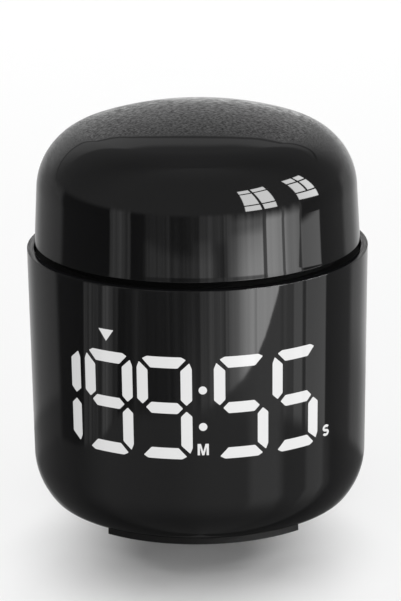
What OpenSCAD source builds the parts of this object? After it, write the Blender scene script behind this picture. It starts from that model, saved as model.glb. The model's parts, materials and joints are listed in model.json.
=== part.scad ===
// Rotary digital kitchen timer: a round glossy body with a lit number display, under a domed knob
// that turns to set the time and presses to start or stop it.
// Millimetres, +Z up, the display faces -Y, and the origin is the middle of the foot on the table.

/* [Body] */
// Outside diameter at the rim
body_d = 65; // [64:0.5:70]
// Height of the rim above the table
rim_z = 50.4; // [49:0.2:56]
// Draft of the straight side, in degrees
body_draft = 0.6; // [0.2:0.1:1]
// Wall of the shell
wall = 2; // [1.8:0.1:2.2]
// Wall of the rim, beside the seat of the deck
rim_wall = 1.3; // [1.1:0.1:1.5]
// Height of the shell's underside above the table
base_gap = 0.75; // [0.5:0.05:1]
// Large radius at the bottom of the side
base_fillet = 13; // [11:0.5:14]
// Small radius at the edge of the underside
base_edge = 2.9; // [2.6:0.1:4]
// Angle below level where the large radius hands over to the small one
base_blend = 38; // [30:1:44]
// Radius of the rim's two edges
rim_edge = 0.15; // [0.1:0.05:0.4]

/* [Knob] */
// Diameter of the knob's lower edge
knob_d = 62; // [60:0.2:63]
// Height of the knob's dome
knob_h = 25.7; // [23:0.1:29]
// Open slot between the rim and the knob
knob_gap = 1.1; // [1:0.1:1.6]
// How far the knob presses in
knob_travel = 0.6; // [0.4:0.05:0.7]
// Draft of the knob's side, in degrees
knob_draft = 3.2; // [1:0.2:5]
// Radius of the knob's shoulder
knob_shoulder = 12.7; // [10:0.1:14]
// Radius of the knob's crown
knob_crown = 66; // [56:1:90]
// Wall of the dome
knob_wall = 2; // [1.6:0.1:2.4]
// Wall of the neck below the carrier
neck_wall = 1.8; // [1.4:0.1:2.2]
// Radius of the edges of the knob's lower lip
knob_edge = 0.2; // [0.1:0.05:0.4]

/* [Display] */
// Height of a digit
digit_h = 19.7; // [17:0.1:21]
// Width of a digit on the light frame's face
digit_w = 9.6; // [9:0.1:9.8]
// Height of the digits' bottom above the table
digit_z = 18.1; // [17.4:0.1:20]
// Width of a segment
stroke = 2; // [1.6:0.1:2.4]
// Gap between neighbouring segments
segment_gap = 0.8; // [0.5:0.05:1]
// Radius of a digit's outer corners
digit_corner = 2.1; // [1.2:0.1:2.4]
// Gap between neighbouring digits
digit_gap = 0.8; // [0.7:0.05:1.2]
// Gap between the two digits beside the colon
colon_gap = 3.7; // [3.2:0.1:4.2]
// Diameter of a colon dot
dot_d = 1.7; // [1.2:0.1:2]
// Width of the pointer mark above the digits
mark_w = 3; // [2:0.1:3.6]
// Thickness of the light frame
frame_t = 5; // [4:0.1:5.6]
// Depth of the resin in a well
resin_t = 1.6; // [1:0.1:1.7]
// How far the light frame reaches past the last sign
frame_edge = 6.4; // [5.4:0.1:7]

/* [Battery bay] */
// Diameter of a cell
cell_d = 10.5; // [10:0.1:10.7]
// Length of a cell with its button
cell_l = 44.5; // [43.5:0.1:44.8]
// Height of the cells' axes above the table
cell_z = 9; // [8.8:0.1:9.6]
// Distance between neighbouring cells' axes
cell_pitch = 10.7; // [10.7:0.05:10.8]
// Length of a contact spring with the cell in place
spring_l = 2.75; // [2.4:0.05:3]
// Width of the foot and bay
foot_w = 35.8; // [35.6:0.2:38]
// Radius of the foot's rounded ends
foot_r = 28.5; // [28:0.1:28.6]
// Wall of the foot at its rounded ends
foot_wall = 1.3; // [1:0.1:1.6]
// Thickness of the battery door
door_t = 1.6; // [1.2:0.1:1.8]
// How far the door lies above the table
door_gap = 0.3; // [0.2:0.05:0.4]

/* [Works] */
// Thickness of the deck under the knob
deck_t = 2.4; // [2.2:0.1:2.6]
// Depth of the deck's seat below the rim
deck_seat = 4; // [3.8:0.1:4.4]
// Thickness of the main board
board_t = 1.6; // [1:0.1:2]
// Height of the turning sensor's case
encoder_h = 5; // [4.8:0.1:5.4]
// Diameter of the shaft
shaft_d = 6; // [5.8:0.1:6.2]
// Diameter of the threaded bushing
bushing_d = 7; // [6.9:0.1:7.4]
// Height of the bushing above the sensor's plate
bushing_h = 6; // [5.4:0.1:6.2]
// Diameter of the buzzer
buzzer_d = 12; // [9:0.5:13]
// Diameter of the chassis columns
column_d = 6.4; // [6:0.1:6.8]

/* [Hidden] */
$fn = 96;
arc_step = 2.5;    // degrees between points on an arc that is drawn as points
edge_steps = 4;    // straight steps round a small edge

// Clearances
fit = 0.25;        // pieces that are put together and stay
run = 0.3;         // pieces that move past each other
bearing_play = 0.03;
touch = 0.05;      // pieces that just meet
through = 1;       // how far a cut runs past its piece

// Screws
screw_d = 1.9;
screw_hole_d = 2;
screw_pass_d = 2.4;
screw_head_d = 3.8;
screw_head_h = 1.4;
screw_l = 8;
boss_d = 5.4;
boss_clear = 0.35;

// Body of the shell: radii, centres of its two base arcs and the levels inside
body_r = body_d / 2;
side_slope = tan(body_draft);
edge_z = base_gap + base_edge;
fillet_z = edge_z + (base_fillet - base_edge) * sin(base_blend);
fillet_at = side_r(fillet_z) - base_fillet / cos(body_draft);
edge_at = fillet_at + (base_fillet - base_edge) * cos(base_blend);
floor_z = base_gap + wall;
deck_z = rim_z - deck_seat;
deck_top = deck_z + deck_t;
deck_r = body_r - rim_wall - fit;

// Knob: levels and the centre of its shoulder arc, which touches the side and the crown
knob_r = knob_d / 2;
knob_z = rim_z + knob_gap;
knob_top = knob_z + knob_h;
crown_z = knob_top - knob_crown;
crown_gap = knob_crown - knob_shoulder;
shoulder_from = [knob_r - knob_shoulder * cos(knob_draft), knob_z - knob_shoulder * sin(knob_draft)];
shoulder_way = [-sin(knob_draft), cos(knob_draft)];
shoulder_off = shoulder_from - [0, crown_z];
shoulder_b = shoulder_off * shoulder_way;
shoulder_q = shoulder_off * shoulder_off - crown_gap * crown_gap;
side_l = sqrt(shoulder_b * shoulder_b - shoulder_q) - shoulder_b;
shoulder_c = shoulder_from + side_l * shoulder_way;
crown_angle = atan2(shoulder_c[1] - crown_z, shoulder_c[0]);

// Battery bay: cells, contacts, foot and door
cell_button_d = 3.8;
cell_button_h = 1;
cell_play = 0.4;
contact_t = 0.3;
contact_w = 5.6;
contact_z = 5.7;
contact_h = 7.6;
tab_w = 2.4;
tab_top = 18.5;
spring_wire = 0.5;
spring_turns = 2.2;
spring_wide = 2.4;
spring_narrow = 1.6;
foot_hw = foot_w / 2;
bay_hw = cell_pitch + cell_d / 2 + cell_play;
bay_hl = (cell_l + spring_l) / 2 + contact_t + 2 * touch;
cell_end = bay_hl - contact_t - 2 * touch;
bay_r = norm([cell_pitch + cell_d / 2, cell_end - cell_button_h]) + fit;
bay_roof_t = 1.4;
bay_roof_z = cell_z + cell_d / 2 + run;
bay_top = bay_roof_z + bay_roof_t;
foot_rise = 2.25;
step_h = 0.6;
foot_top = floor_z + foot_rise;
upper_z = foot_top + step_h;
upper_r = cavity_r(upper_z) - run;
window_r = foot_r - foot_wall;
door_hw = bay_hw - fit;
door_r = window_r - fit;
door_top = door_gap + door_t;
tongue_y = 12;
tongue_w = 7;
tongue_t = 0.9;
tongue_z = door_top + run;
tongue_reach = 1.35;
tongue_root = 1.75;
tongue_swing = 1.02;   // room over a tongue, so that the door can tilt
latch_w = 9;
latch_l = 7;
latch_slit = 0.8;
latch_h = 0.7;
latch_bar = 1.2;
grip_w = 12;
grip_d = 4;
grip_deep = 0.6;
stop_w = 4;
stop_x = 5;
stop_reach = 1;
stop_h = 1.2;

// Chassis: flange, columns and screw places
flange_z = 6;
flange_t = 1.6;
chassis_screw_x = foot_hw + fit + boss_d / 2 + boss_clear;
chassis_screw_y = 10.5;
chassis_screw_at = [for (x = [-1, 1], y = [-1, 1]) [x * chassis_screw_x, y * chassis_screw_y]];
column_inset = 2.9;
column_r = upper_r - column_inset;
column_front = 80;
column_rear = 140;
column_angles = [-column_front, column_front, column_rear, -column_rear];
groove_stop = 3;
groove_end = column_front - groove_stop;

// Display: light frame, wells and board
frame_z = bay_top;
frame_top = deck_z - run;
frame_face = side_r(frame_z) - wall - fit;
frame_back = frame_face - frame_t;
well_r = frame_face - resin_t;
face_r = side_r(digit_z + digit_h / 2) - wall - fit;
tongue_in = 1.5;
tongue_out = 3;
ear_lap = 3;       // degrees that an ear reaches back into the light frame
ear_play = 0.5;    // degrees short of its groove's end
mitre = segment_gap / sqrt(2);
digit_hw = digit_w / 2;
digit_mid = digit_h / 2;
digit_pitch = to_angle(digit_w + digit_gap);
colon_pitch = to_angle(digit_w + colon_gap);
half_digit = -colon_pitch / 2 - 2 * digit_pitch;
digit_angles = [half_digit, half_digit + digit_pitch, -colon_pitch / 2, colon_pitch / 2,
    colon_pitch / 2 + digit_pitch];
lit = ["bc", "abcdfg", "abcdfg", "acdfg", "acdfg"];
unlit = ["", "e", "e", "be", "be"];
colon_rise = 3.55;
unit_w = 2.2;
unit_h = 2.4;
unit_gap = 1;
unit_rise = 0.65;
unit_z = digit_z + unit_rise;
unit_angles = [0, colon_pitch / 2 + digit_pitch + to_angle(digit_hw + unit_gap + unit_w / 2)];
frame_span = unit_angles[1] + to_angle(unit_w / 2 + frame_edge);
ear_root = frame_span - ear_lap;
ear_end = groove_end - ear_play;
mark_angle = -colon_pitch / 2 - digit_pitch;
mark_gap = 2;
mark_z = digit_z + digit_h + mark_gap;
mark_h = 2.15;
// Lamps: angle, height, and whether one stands upright
lamps = concat(
    [for (d = [0:len(lit) - 1], s = str(lit[d], unlit[d])) let(m = segment_middle(s))
        [digit_angles[d] + to_angle(m[0]), digit_z + m[1], m[0] != 0]],
    [for (side = [-1, 1]) [0, digit_z + digit_mid + side * colon_rise, true]],
    [for (angle = unit_angles) [angle, unit_z + unit_h / 2, true]],
    [[mark_angle, mark_z + 0.75 * mark_h, false]]);
flex_t = 0.25;
flex_r = frame_back - touch;
led_w = 0.82 * dot_d;
led_h = 0.47 * dot_d;
led_t = 0.6;
led_play = 0.1;
header_pins = 8;
header_pitch = 2;
header_w = header_pins * header_pitch;
header_h = 2.5;
header_l = 1.5;
pin_t = 0.5;

// Turning sensor, board and shaft, stacked down from the deck
bushing_plate_t = 1.5;
plate_z = deck_z - touch - bushing_plate_t;
case_z = plate_z - encoder_h;
board_z = case_z - board_t;
board_r = column_r - column_d / 2 - run;
board_screw_edge = 3;
board_screw_in = 8.5;
board_screw_r = board_r - board_screw_edge;
board_screw_at = [polar([0, 0], board_screw_r, 30), polar([0, 0], board_screw_r, 150),
    [0, board_screw_in - board_r]];
case_w = 12;
case_l = 11.7;
case_floor = 1;
case_bore = 10.4;
rotor_d = 9.4;
rotor_t = 1.6;
rotor_z = case_z + case_floor + 1.8;
rotor_notches = 20;
notch_d = 0.7;
plunger_d = 4.6;
plunger_flat = 3.6;
dome_d = 5;
dome_h = 0.65;
dome_t = 0.12;
dome_round = (dome_d * dome_d / 4 + dome_h * dome_h) / (2 * dome_h);
shaft_z = case_z + case_floor + dome_h + touch;
collar_d = 7;
collar_t = 0.6;
collar_z = plate_z + run - touch;
shaft_top = 66;
shaft_flat = 1.5;
flat_z = 54.4;
bushing_top = plate_z + bushing_plate_t + bushing_h;
washer_t = 0.5;
washer_d = 11.5;
nut_t = 2;
nut_w = 10;
detent_t = 0.2;
leg_t = 0.5;
leg_w = 2.2;
leg_x = (case_w + leg_t) / 2 + touch;
pin_w = 0.8;
pin_hole_d = 1.2;
pin_down = 1.5;
pin_rise = 1;
pin_y = 7;
encoder_pin_at = [[-2.5, -pin_y], [0, -pin_y], [2.5, -pin_y], [-2.5, pin_y], [2.5, pin_y]];
buzzer_h = 6;
buzzer_y = 14.5;
buzzer_hole = 2;
buzzer_deep = 2;
sound_holes = 6;
sound_hole_d = 1.6;
sound_ring_r = 3.4;
chip_w = 10;
chip_l = 4;
chip_t = 1.6;
chip_y = 13;
chip_leads = 8;
chip_pitch = 1.27;
chip_stand = 0.1;
chip_lead_w = 0.4;
chip_lead_l = 1.8;
chip_lead_t = 0.2;
capacitor_d = 6.3;
capacitor_h = 7.7;
capacitor_at = [-11, -6];
crystal_l = 10.2;
crystal_w = 4.6;
crystal_h = 3.5;
crystal_at = [11, -6];

// Knob's inside
carrier_r = knob_r - knob_wall - 2 * run;
neck_z = deck_top + knob_travel + run;
carrier_t = 1.6;
hub_z = bushing_top + knob_travel + run;
hub_step = 0.8;
carrier_z = hub_z + hub_step;
carrier_top = carrier_z + carrier_t;
hub_d = 11;
hub_cap = 1.7;
hub_top = shaft_top + hub_cap;
rib_count = 6;
rib_t = 1.4;
rib_tall = 8;
rib_low = 2;
rib_inset = 2;
rib_end = carrier_r - rib_inset;
post_r = 18;
post_d = 5.6;
post_angles = [30, 150, 270];

// Leads, as points picked along the way from the contacts up to the main board
lead_d = 1.2;
lead_in = 4;
lead_slack = 0.5;
lead_edge = board_r - board_screw_edge;
tab_y = bay_hl - touch - contact_t / 2;
shelf_y = -bay_hl + tab_w + contact_t;
shelf_z = bay_roof_z - bay_roof_t + contact_t;
positive_route = [[-cell_pitch, tab_y, tab_top], [-cell_pitch, tab_y, 24],
    [-9.5, lead_edge + lead_slack, 31], [-9.5, lead_edge, 34.5], [-9.5, lead_edge, board_z]];
negative_route = [[cell_pitch / 2, shelf_y, shelf_z], [cell_pitch / 2, shelf_y, 19],
    [7.5, lead_in - lead_slack - lead_edge, 29], [7.5, lead_in - lead_edge, 34],
    [7.5, lead_in - lead_edge, board_z]];

// Outside radius of the straight side at a height
function side_r(z) = body_r - side_slope * (rim_z - z);
// Inside radius of the shell where its large base radius runs
function cavity_r(z) = fillet_at + sqrt(pow(base_fillet - wall, 2) - pow(fillet_z - z, 2));
function polar(c, r, a) = [c[0] + r * cos(a), c[1] + r * sin(a)];
function around(r, a) = [r * sin(a), -r * cos(a)];
// Angle that a width takes on the light frame's face
function to_angle(width) = width / face_r * 180 / PI;
// Points on an arc from one angle to another
function arc(c, r, a0, a1) = let(n = ceil(abs(a1 - a0) / arc_step))
    [for (i = [0:n]) polar(c, r, a0 + (a1 - a0) * i / n)];
// Points round a quarter of a small edge, from one angle on to the next quarter
function edge_arc(c, r, a0, sense) =
    [for (i = [0:edge_steps]) polar(c, r, a0 + sense * 90 * i / edge_steps)];
// Middle of a segment, across and up
function segment_middle(name) =
    name == "a" ? [0, digit_h - stroke / 2] :
    name == "d" ? [0, stroke / 2] :
    name == "g" ? [0, digit_mid] :
    [(name == "b" || name == "c" ? 1 : -1) * (digit_hw - stroke / 2),
        digit_mid * (name == "b" || name == "f" ? 1.5 : 0.5)];
function lamp_size(upright) = upright ? [led_h, led_w] : [led_w, led_h];
function turned_round(points) = [for (i = [len(points) - 1:-1:0]) points[i]];

// Points along the body's outline, drawn in by inset, from the straight side round to the underside
function base_arc(inset) = concat(
    arc([fillet_at, fillet_z], base_fillet - inset, -body_draft, -base_blend),
    arc([edge_at, edge_z], base_edge - inset, -base_blend - arc_step, -90));

// The shell's wall, turned from one closed outline
module shell_wall() {
    rotate_extrude()
        polygon(concat(edge_arc([body_r - rim_wall + rim_edge, rim_z - rim_edge], rim_edge, 180, -1),
            edge_arc([side_r(rim_z - rim_edge) - rim_edge, rim_z - rim_edge], rim_edge, 90, -1),
            base_arc(0), [[0, base_gap], [0, floor_z]], turned_round(base_arc(wall)),
            [[side_r(deck_z) - wall / cos(body_draft), deck_z], [body_r - rim_wall, deck_z]]));
}

// Radius of the knob's side at a height, drawn in by inset
function knob_side_r(inset, z) = knob_r - inset / cos(knob_draft) - (z - knob_z) * tan(knob_draft);

// Points along the knob's outline, drawn in by inset, from its shoulder up to the middle
function dome_arc(inset) = concat(
    arc(shoulder_c, knob_shoulder - inset, knob_draft, crown_angle),
    arc([0, crown_z], knob_crown - inset, crown_angle + arc_step, 90));

// The knob's wall, turned from one closed outline with a rounded lower lip
module dome_wall() {
    lip_z = knob_z + knob_edge;
    outer = [knob_side_r(0, lip_z) - knob_edge, lip_z];
    inner = [knob_side_r(knob_wall, lip_z) + knob_edge, lip_z];
    rotate_extrude()
        polygon(concat(edge_arc(outer, knob_edge, -90, 1), dome_arc(0), turned_round(dome_arc(knob_wall)),
            edge_arc(inner, knob_edge, 180, 1)));
}

// The space under the middle of the knob's wall, which trims what stands under it
module dome_space() {
    rotate_extrude()
        polygon(concat([[0, carrier_top], [knob_side_r(knob_wall / 2, carrier_top), carrier_top]],
            dome_arc(knob_wall / 2)));
}

// A strip with two straight sides and rounded ends, as seen from above
module strip_outline(half_w, end_r) {
    intersection() {
        circle(end_r);
        square([2 * half_w, 2 * end_r + through], center = true);
    }
}

// A solid strip between two heights
module strip(half_w, end_r, z0, z1) {
    translate([0, 0, z0]) linear_extrude(z1 - z0) strip_outline(half_w, end_r);
}

// A ring between two radii and two heights
module ring(r0, r1, z0, z1) {
    translate([0, 0, z0]) difference() {
        cylinder(r = r1, h = z1 - z0);
        translate([0, 0, -through]) cylinder(r = r0, h = z1 - z0 + 2 * through);
    }
}

// A part of a ring, over an angle to both sides of a direction seen from the front
module arc_wall(r0, r1, z0, z1, angle, half_angle) {
    rotate([0, 0, angle - 90 - half_angle]) rotate_extrude(angle = 2 * half_angle)
        translate([r0, z0]) square([r1 - r0, z1 - z0]);
}

// Turns a flat outline, across and up, so that it stands at an angle and is pushed out from a radius
module facing(angle, r, depth) {
    rotate([0, 0, angle]) rotate([90, 0, 0]) translate([0, 0, r]) linear_extrude(depth) children();
}

// A screw with its head up, the underside of the head at z = 0
module screw(length) {
    cylinder(d = screw_head_d, h = screw_head_h);
    translate([0, 0, -length]) cylinder(d = screw_d, h = length + touch);
}

// Tube along points: rings square to the way, joined by triangles, with flat ends
function way(p, i) = let(n = len(p) - 1, d = p[min(i + 1, n)] - p[max(i - 1, 0)]) d / norm(d);
function side_of(t) = let(s = cross(t, abs(t[2]) < 0.9 ? [0, 0, 1] : [1, 0, 0])) s / norm(s);
function ring_points(c, t, r, n) = let(u = side_of(t), v = cross(t, u))
    [for (k = [0:n - 1]) c + r * (cos(360 * k / n) * u + sin(360 * k / n) * v)];
module tube(p, r, n) {
    last = (len(p) - 1) * n;
    points = [for (i = [0:len(p) - 1]) each ring_points(p[i], way(p, i), r, n)];
    sides = [for (i = [0:len(p) - 2], k = [0:n - 1]) let(a = i * n + k, b = i * n + (k + 1) % n)
        each [[a, b + n, b], [a, a + n, b + n]]];
    ends = [for (k = [1:n - 2]) each [[0, k, k + 1], [last, last + k + 1, last + k]]];
    polyhedron(points, concat(sides, ends));
}

// One segment of a digit, a to g, as a flat outline with the digit's bottom at height 0
module segment(name) {
    side = digit_hw - stroke;
    tip = digit_hw - stroke / 2;
    flat_bar = [[-digit_hw + mitre, 0], [digit_hw - mitre, 0], [side - mitre, stroke],
        [mitre - side, stroke]];
    middle_bar = [[mitre - tip, 0], [mitre - side, stroke / 2], [side - mitre, stroke / 2],
        [tip - mitre, 0], [side - mitre, -stroke / 2], [mitre - side, -stroke / 2]];
    upright = [[digit_hw, mitre], [side, stroke + mitre], [side, digit_mid - mitre - stroke / 2],
        [tip, digit_mid - mitre], [digit_hw, digit_mid - mitre - stroke / 2]];
    intersection() {
        digit_outline();
        if (name == "a") translate([0, digit_h]) mirror([0, 1]) polygon(flat_bar);
        else if (name == "d") polygon(flat_bar);
        else if (name == "g") translate([0, digit_mid]) polygon(middle_bar);
        else if (name == "b") translate([0, digit_h]) mirror([0, 1]) polygon(upright);
        else if (name == "c") polygon(upright);
        else if (name == "e") mirror([1, 0]) polygon(upright);
        else if (name == "f") translate([0, digit_h]) mirror([0, 1]) mirror([1, 0]) polygon(upright);
    }
}

// Outline of a whole digit, with rounded corners
module digit_outline() {
    inner_w = digit_hw - digit_corner;
    translate([-inner_w, 0]) square([2 * inner_w, digit_h]);
    translate([-digit_hw, digit_corner]) square([digit_w, digit_h - 2 * digit_corner]);
    for (x = [-inner_w, inner_w], y = [digit_corner, digit_h - digit_corner])
        translate([x, y]) circle(digit_corner);
}

// The segments named for each digit, standing round the front
module segments(names, r, depth) {
    for (d = [0:len(names) - 1])
        for (s = names[d])
            translate([0, 0, digit_z]) facing(digit_angles[d], r, depth) segment(s);
}

// Colon dots, unit windows and pointer mark, standing round the front
module signs(r, depth) {
    for (side = [-1, 1])
        facing(0, r, depth) translate([0, digit_z + digit_mid + side * colon_rise]) circle(d = dot_d);
    for (angle = unit_angles)
        facing(angle, r, depth) translate([-unit_w / 2, unit_z]) square([unit_w, unit_h]);
    facing(mark_angle, r, depth)
        translate([0, mark_z]) polygon([[0, 0], [mark_w / 2, mark_h], [-mark_w / 2, mark_h]]);
}

// Block of the light frame, whose front follows the shell's draft
module frame_block() {
    face_top = side_r(frame_top) - wall - fit;
    rotate([0, 0, -90 - frame_span]) rotate_extrude(angle = 2 * frame_span)
        polygon([[frame_back, frame_z], [frame_face, frame_z], [face_top, frame_top],
            [frame_back, frame_top]]);
}

module body_shell() {
    color([0.05, 0.05, 0.06]) difference() {
        union() {
            shell_wall();
            for (p = chassis_screw_at)
                translate([p[0], p[1], floor_z - wall / 2])
                    cylinder(d = boss_d, h = flange_z - floor_z + wall / 2);
        }
        strip(foot_hw + fit, foot_r + fit, base_gap - through, foot_top + fit);
        for (p = chassis_screw_at)
            translate([p[0], p[1], floor_z - wall / 4]) cylinder(d = screw_hole_d, h = flange_z);
    }
}

module chassis() {
    color([0.12, 0.12, 0.13]) difference() {
        union() {
            strip(foot_hw, foot_r, 0, upper_z + through);
            strip(foot_hw, upper_r, upper_z, bay_top);
            translate([0, 0, flange_z]) cylinder(r = upper_r, h = flange_t);
            for (a = column_angles)
                translate(concat(around(column_r, a), flange_z))
                    cylinder(d = column_d, h = deck_z - flange_z);
        }
        difference() {
            strip(bay_hw, window_r, -through, foot_top);
            for (x = [-stop_x, stop_x], side = [-1, 1])
                translate([x - stop_w / 2, side * (window_r - stop_reach / 2) - foot_wall, door_top + fit])
                    cube([stop_w, 2 * foot_wall, stop_h]);
        }
        intersection() {
            strip(bay_hw, bay_r, foot_top - touch, bay_roof_z);
            translate([-bay_hw, -bay_hl, 0]) cube([2 * bay_hw, 2 * bay_hl, bay_top]);
        }
        for (side = [-1, 1])
            translate([bay_hw - through, side * tongue_y - tongue_w / 2 - 2 * fit, door_top + touch])
                cube([foot_hw - bay_hw + 2 * through, tongue_w + 4 * fit, tongue_t + tongue_swing]);
        translate([-cell_pitch - tab_w / 2 - fit, tab_y - contact_t / 2 - fit, bay_roof_z - through])
            cube([tab_w + 2 * fit, contact_t + 2 * fit, bay_roof_t + 2 * through]);
        translate([negative_route[0][0], negative_route[0][1], bay_roof_z - through])
            cylinder(d = lead_d + 2 * fit, h = bay_roof_t + 2 * through);
        for (p = chassis_screw_at)
            translate([p[0], p[1], flange_z - through])
                cylinder(d = screw_pass_d, h = flange_t + 2 * through);
        for (a = column_angles)
            translate(concat(around(column_r, a), deck_z - screw_l - through))
                cylinder(d = screw_hole_d, h = screw_l + 2 * through);
        arc_wall(frame_back + tongue_in - fit, frame_back + tongue_out + fit, frame_z - through,
            deck_z + through, 0, groove_end);
    }
}

module chassis_screws() {
    color("silver")
        for (p = chassis_screw_at)
            translate([p[0], p[1], flange_z + flange_t]) screw(flange_z + flange_t - floor_z);
}

module battery_door() {
    color([0.1, 0.1, 0.11]) {
        difference() {
            strip(door_hw, door_r, door_gap, door_top);
            for (side = [-1, 1])
                translate([-door_hw - through, side * (latch_w + latch_slit) / 2 - latch_slit / 2, 0])
                    cube([latch_l + through, latch_slit, door_top + through]);
            translate([-door_hw + latch_l, 0, door_gap + grip_deep - grip_d / 2]) rotate([90, 0, 0])
                cylinder(d = grip_d, h = grip_w, center = true);
        }
        for (side = [-1, 1]) {
            translate([door_hw - tongue_root, side * tongue_y - tongue_w / 2, door_top - touch])
                cube([tongue_root, tongue_w, tongue_z + tongue_t - door_top + touch]);
            translate([door_hw - tongue_root, side * tongue_y - tongue_w / 2, tongue_z])
                cube([tongue_root + fit + tongue_reach, tongue_w, tongue_t]);
        }
        translate([-door_hw, -latch_w / 2, door_top - touch])
            cube([latch_bar, latch_w, latch_h + touch]);
    }
}

// A cell along Y, with its button towards +Y or -Y
module cell(x, button) {
    color([0.75, 0.55, 0.2]) translate([x, 0, cell_z]) rotate([-90 * button, 0, 0]) {
        translate([0, 0, cell_end - cell_l]) cylinder(d = cell_d, h = cell_l - cell_button_h);
        translate([0, 0, cell_end - cell_button_h - touch])
            cylinder(d = cell_button_d, h = cell_button_h + touch);
    }
}

module battery_1() { cell(-cell_pitch, 1); }
module battery_2() { cell(0, -1); }
module battery_3() { cell(cell_pitch, 1); }

// A conical contact spring along Y, from the contact plate at one end of the bay to a cell
module contact_spring(x, side) {
    steps = 8 * spring_turns;
    reach = spring_l - spring_wire;
    from = cell_end - spring_wire / 2;
    path = [for (i = [0:steps]) let(t = i / steps, a = 360 * spring_turns * t,
        r = spring_wide + (spring_narrow - spring_wide) * t)
        [x + r * cos(a), side * (from - reach * t), cell_z + r * sin(a)]];
    tube(path, spring_wire / 2, 6);
}

module battery_springs() {
    color("silver") {
        contact_spring(-cell_pitch, -1);
        contact_spring(0, 1);
        contact_spring(cell_pitch, -1);
    }
}

// A contact plate at one end of the bay, between two places across it
module contact_plate(x0, x1, side) {
    y = bay_hl - touch - contact_t;
    translate([x0, side > 0 ? y : -y - contact_t, contact_z]) cube([x1 - x0, contact_t, contact_h]);
}

module contact_positive() {
    color("silver") {
        contact_plate(-cell_pitch - contact_w / 2, -cell_pitch + contact_w / 2, 1);
        translate([-cell_pitch - tab_w / 2, bay_hl - touch - contact_t, contact_z])
            cube([tab_w, contact_t, tab_top - contact_z]);
    }
}

module contact_negative() {
    tab_x = (cell_pitch - tab_w) / 2;
    wall_y = -bay_hl + touch;
    color("silver") {
        contact_plate(tab_x, cell_pitch + contact_w / 2, -1);
        translate([tab_x, wall_y, contact_z]) cube([tab_w, contact_t, shelf_z - contact_z]);
        translate([tab_x, wall_y, shelf_z - contact_t])
            cube([tab_w, shelf_y + tab_w / 2 - wall_y, contact_t]);
    }
}

module contact_link_rear() {
    color("silver") contact_plate(-contact_w / 2, cell_pitch + contact_w / 2, 1);
}

module contact_link_front() {
    color("silver") contact_plate(-cell_pitch - contact_w / 2, contact_w / 2, -1);
}

module positive_lead() { color("red") tube(positive_route, lead_d / 2, 8); }
module negative_lead() { color([0.1, 0.1, 0.1]) tube(negative_route, lead_d / 2, 8); }

module light_frame() {
    color([0.9, 0.9, 0.88]) {
        difference() {
            frame_block();
            segments(lit, well_r, frame_t);
            segments(unlit, well_r, frame_t);
            signs(well_r, frame_t);
            for (l = lamps)
                facing(l[0], frame_back - through, frame_t - resin_t / 2 + through)
                    translate([0, l[1]]) square(lamp_size(l[2]) + [led_play, led_play] * 2, center = true);
        }
        for (side = [-1, 1])
            arc_wall(frame_back + tongue_in, frame_back + tongue_out, frame_z + run, frame_top - run,
                side * (ear_root + ear_end) / 2, (ear_end - ear_root) / 2);
    }
}

module lit_segments() {
    color("white") intersection() {
        frame_block();
        union() {
            segments(lit, well_r, frame_t);
            signs(well_r, frame_t);
        }
    }
}

module unlit_segments() {
    color([0.3, 0.3, 0.32]) intersection() {
        frame_block();
        segments(unlit, well_r, frame_t);
    }
}

module display_flex() {
    color([0.75, 0.55, 0.15]) arc_wall(flex_r - flex_t, flex_r, frame_z, frame_top, 0, frame_span);
}

module display_leds() {
    color([0.95, 0.9, 0.6])
        for (l = lamps)
            facing(l[0], flex_r, led_t) translate([0, l[1]]) square(lamp_size(l[2]), center = true);
}

module display_header() {
    outer = flex_r - flex_t;
    color([0.15, 0.15, 0.16]) {
        translate([-header_w / 2, -board_r + header_l, board_z - header_h])
            cube([header_w, header_l, header_h]);
        for (i = [0:header_pins - 1])
            let(x = (i - (header_pins - 1) / 2) * header_pitch, reach = sqrt(outer * outer - x * x))
                translate([x - pin_t / 2, -reach + pin_t, board_z - header_h / 2 - pin_t / 2])
                    cube([pin_t, reach - pin_t - board_r + 2 * header_l, pin_t]);
    }
}

module main_board() {
    color([0.05, 0.35, 0.15]) difference() {
        translate([0, 0, board_z]) cylinder(r = board_r, h = board_t);
        for (p = board_screw_at)
            translate(concat(p, board_z - through)) cylinder(d = screw_pass_d, h = board_t + 2 * through);
        for (p = encoder_pin_at)
            translate([p[0], p[1], board_z - through])
                cylinder(d = pin_hole_d, h = board_t + 2 * through);
        for (side = [-1, 1])
            translate([side * leg_x - leg_t, -leg_w / 2 - fit, board_z - through])
                cube([2 * leg_t, leg_w + 2 * fit, board_t + 2 * through]);
    }
}

module board_screws() {
    color("silver")
        for (p = board_screw_at)
            translate(concat(p, board_z)) mirror([0, 0, 1]) screw(board_t + screw_l / 2);
}

module controller_chip() {
    color([0.1, 0.1, 0.1]) {
        translate([-chip_w / 2, chip_y - chip_l / 2, board_z - chip_t - chip_stand])
            cube([chip_w, chip_l, chip_t]);
        for (i = [0:chip_leads - 1], side = [-1, 1])
            translate([(i - (chip_leads - 1) / 2) * chip_pitch - chip_lead_w / 2,
                chip_y + side * chip_l / 2 - chip_lead_l / 2, board_z - chip_lead_t])
                cube([chip_lead_w, chip_lead_l, chip_lead_t]);
    }
}

module board_capacitor() {
    color([0.2, 0.2, 0.3]) translate([capacitor_at[0], capacitor_at[1], board_z - capacitor_h])
        cylinder(d = capacitor_d, h = capacitor_h);
}

module timing_crystal() {
    end = (crystal_l - crystal_w) / 2;
    color("silver") translate([crystal_at[0], crystal_at[1], board_z - crystal_h])
        linear_extrude(crystal_h) {
            square([2 * end, crystal_w], center = true);
            for (side = [-1, 1])
                translate([side * end, 0]) circle(d = crystal_w);
        }
}

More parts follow.
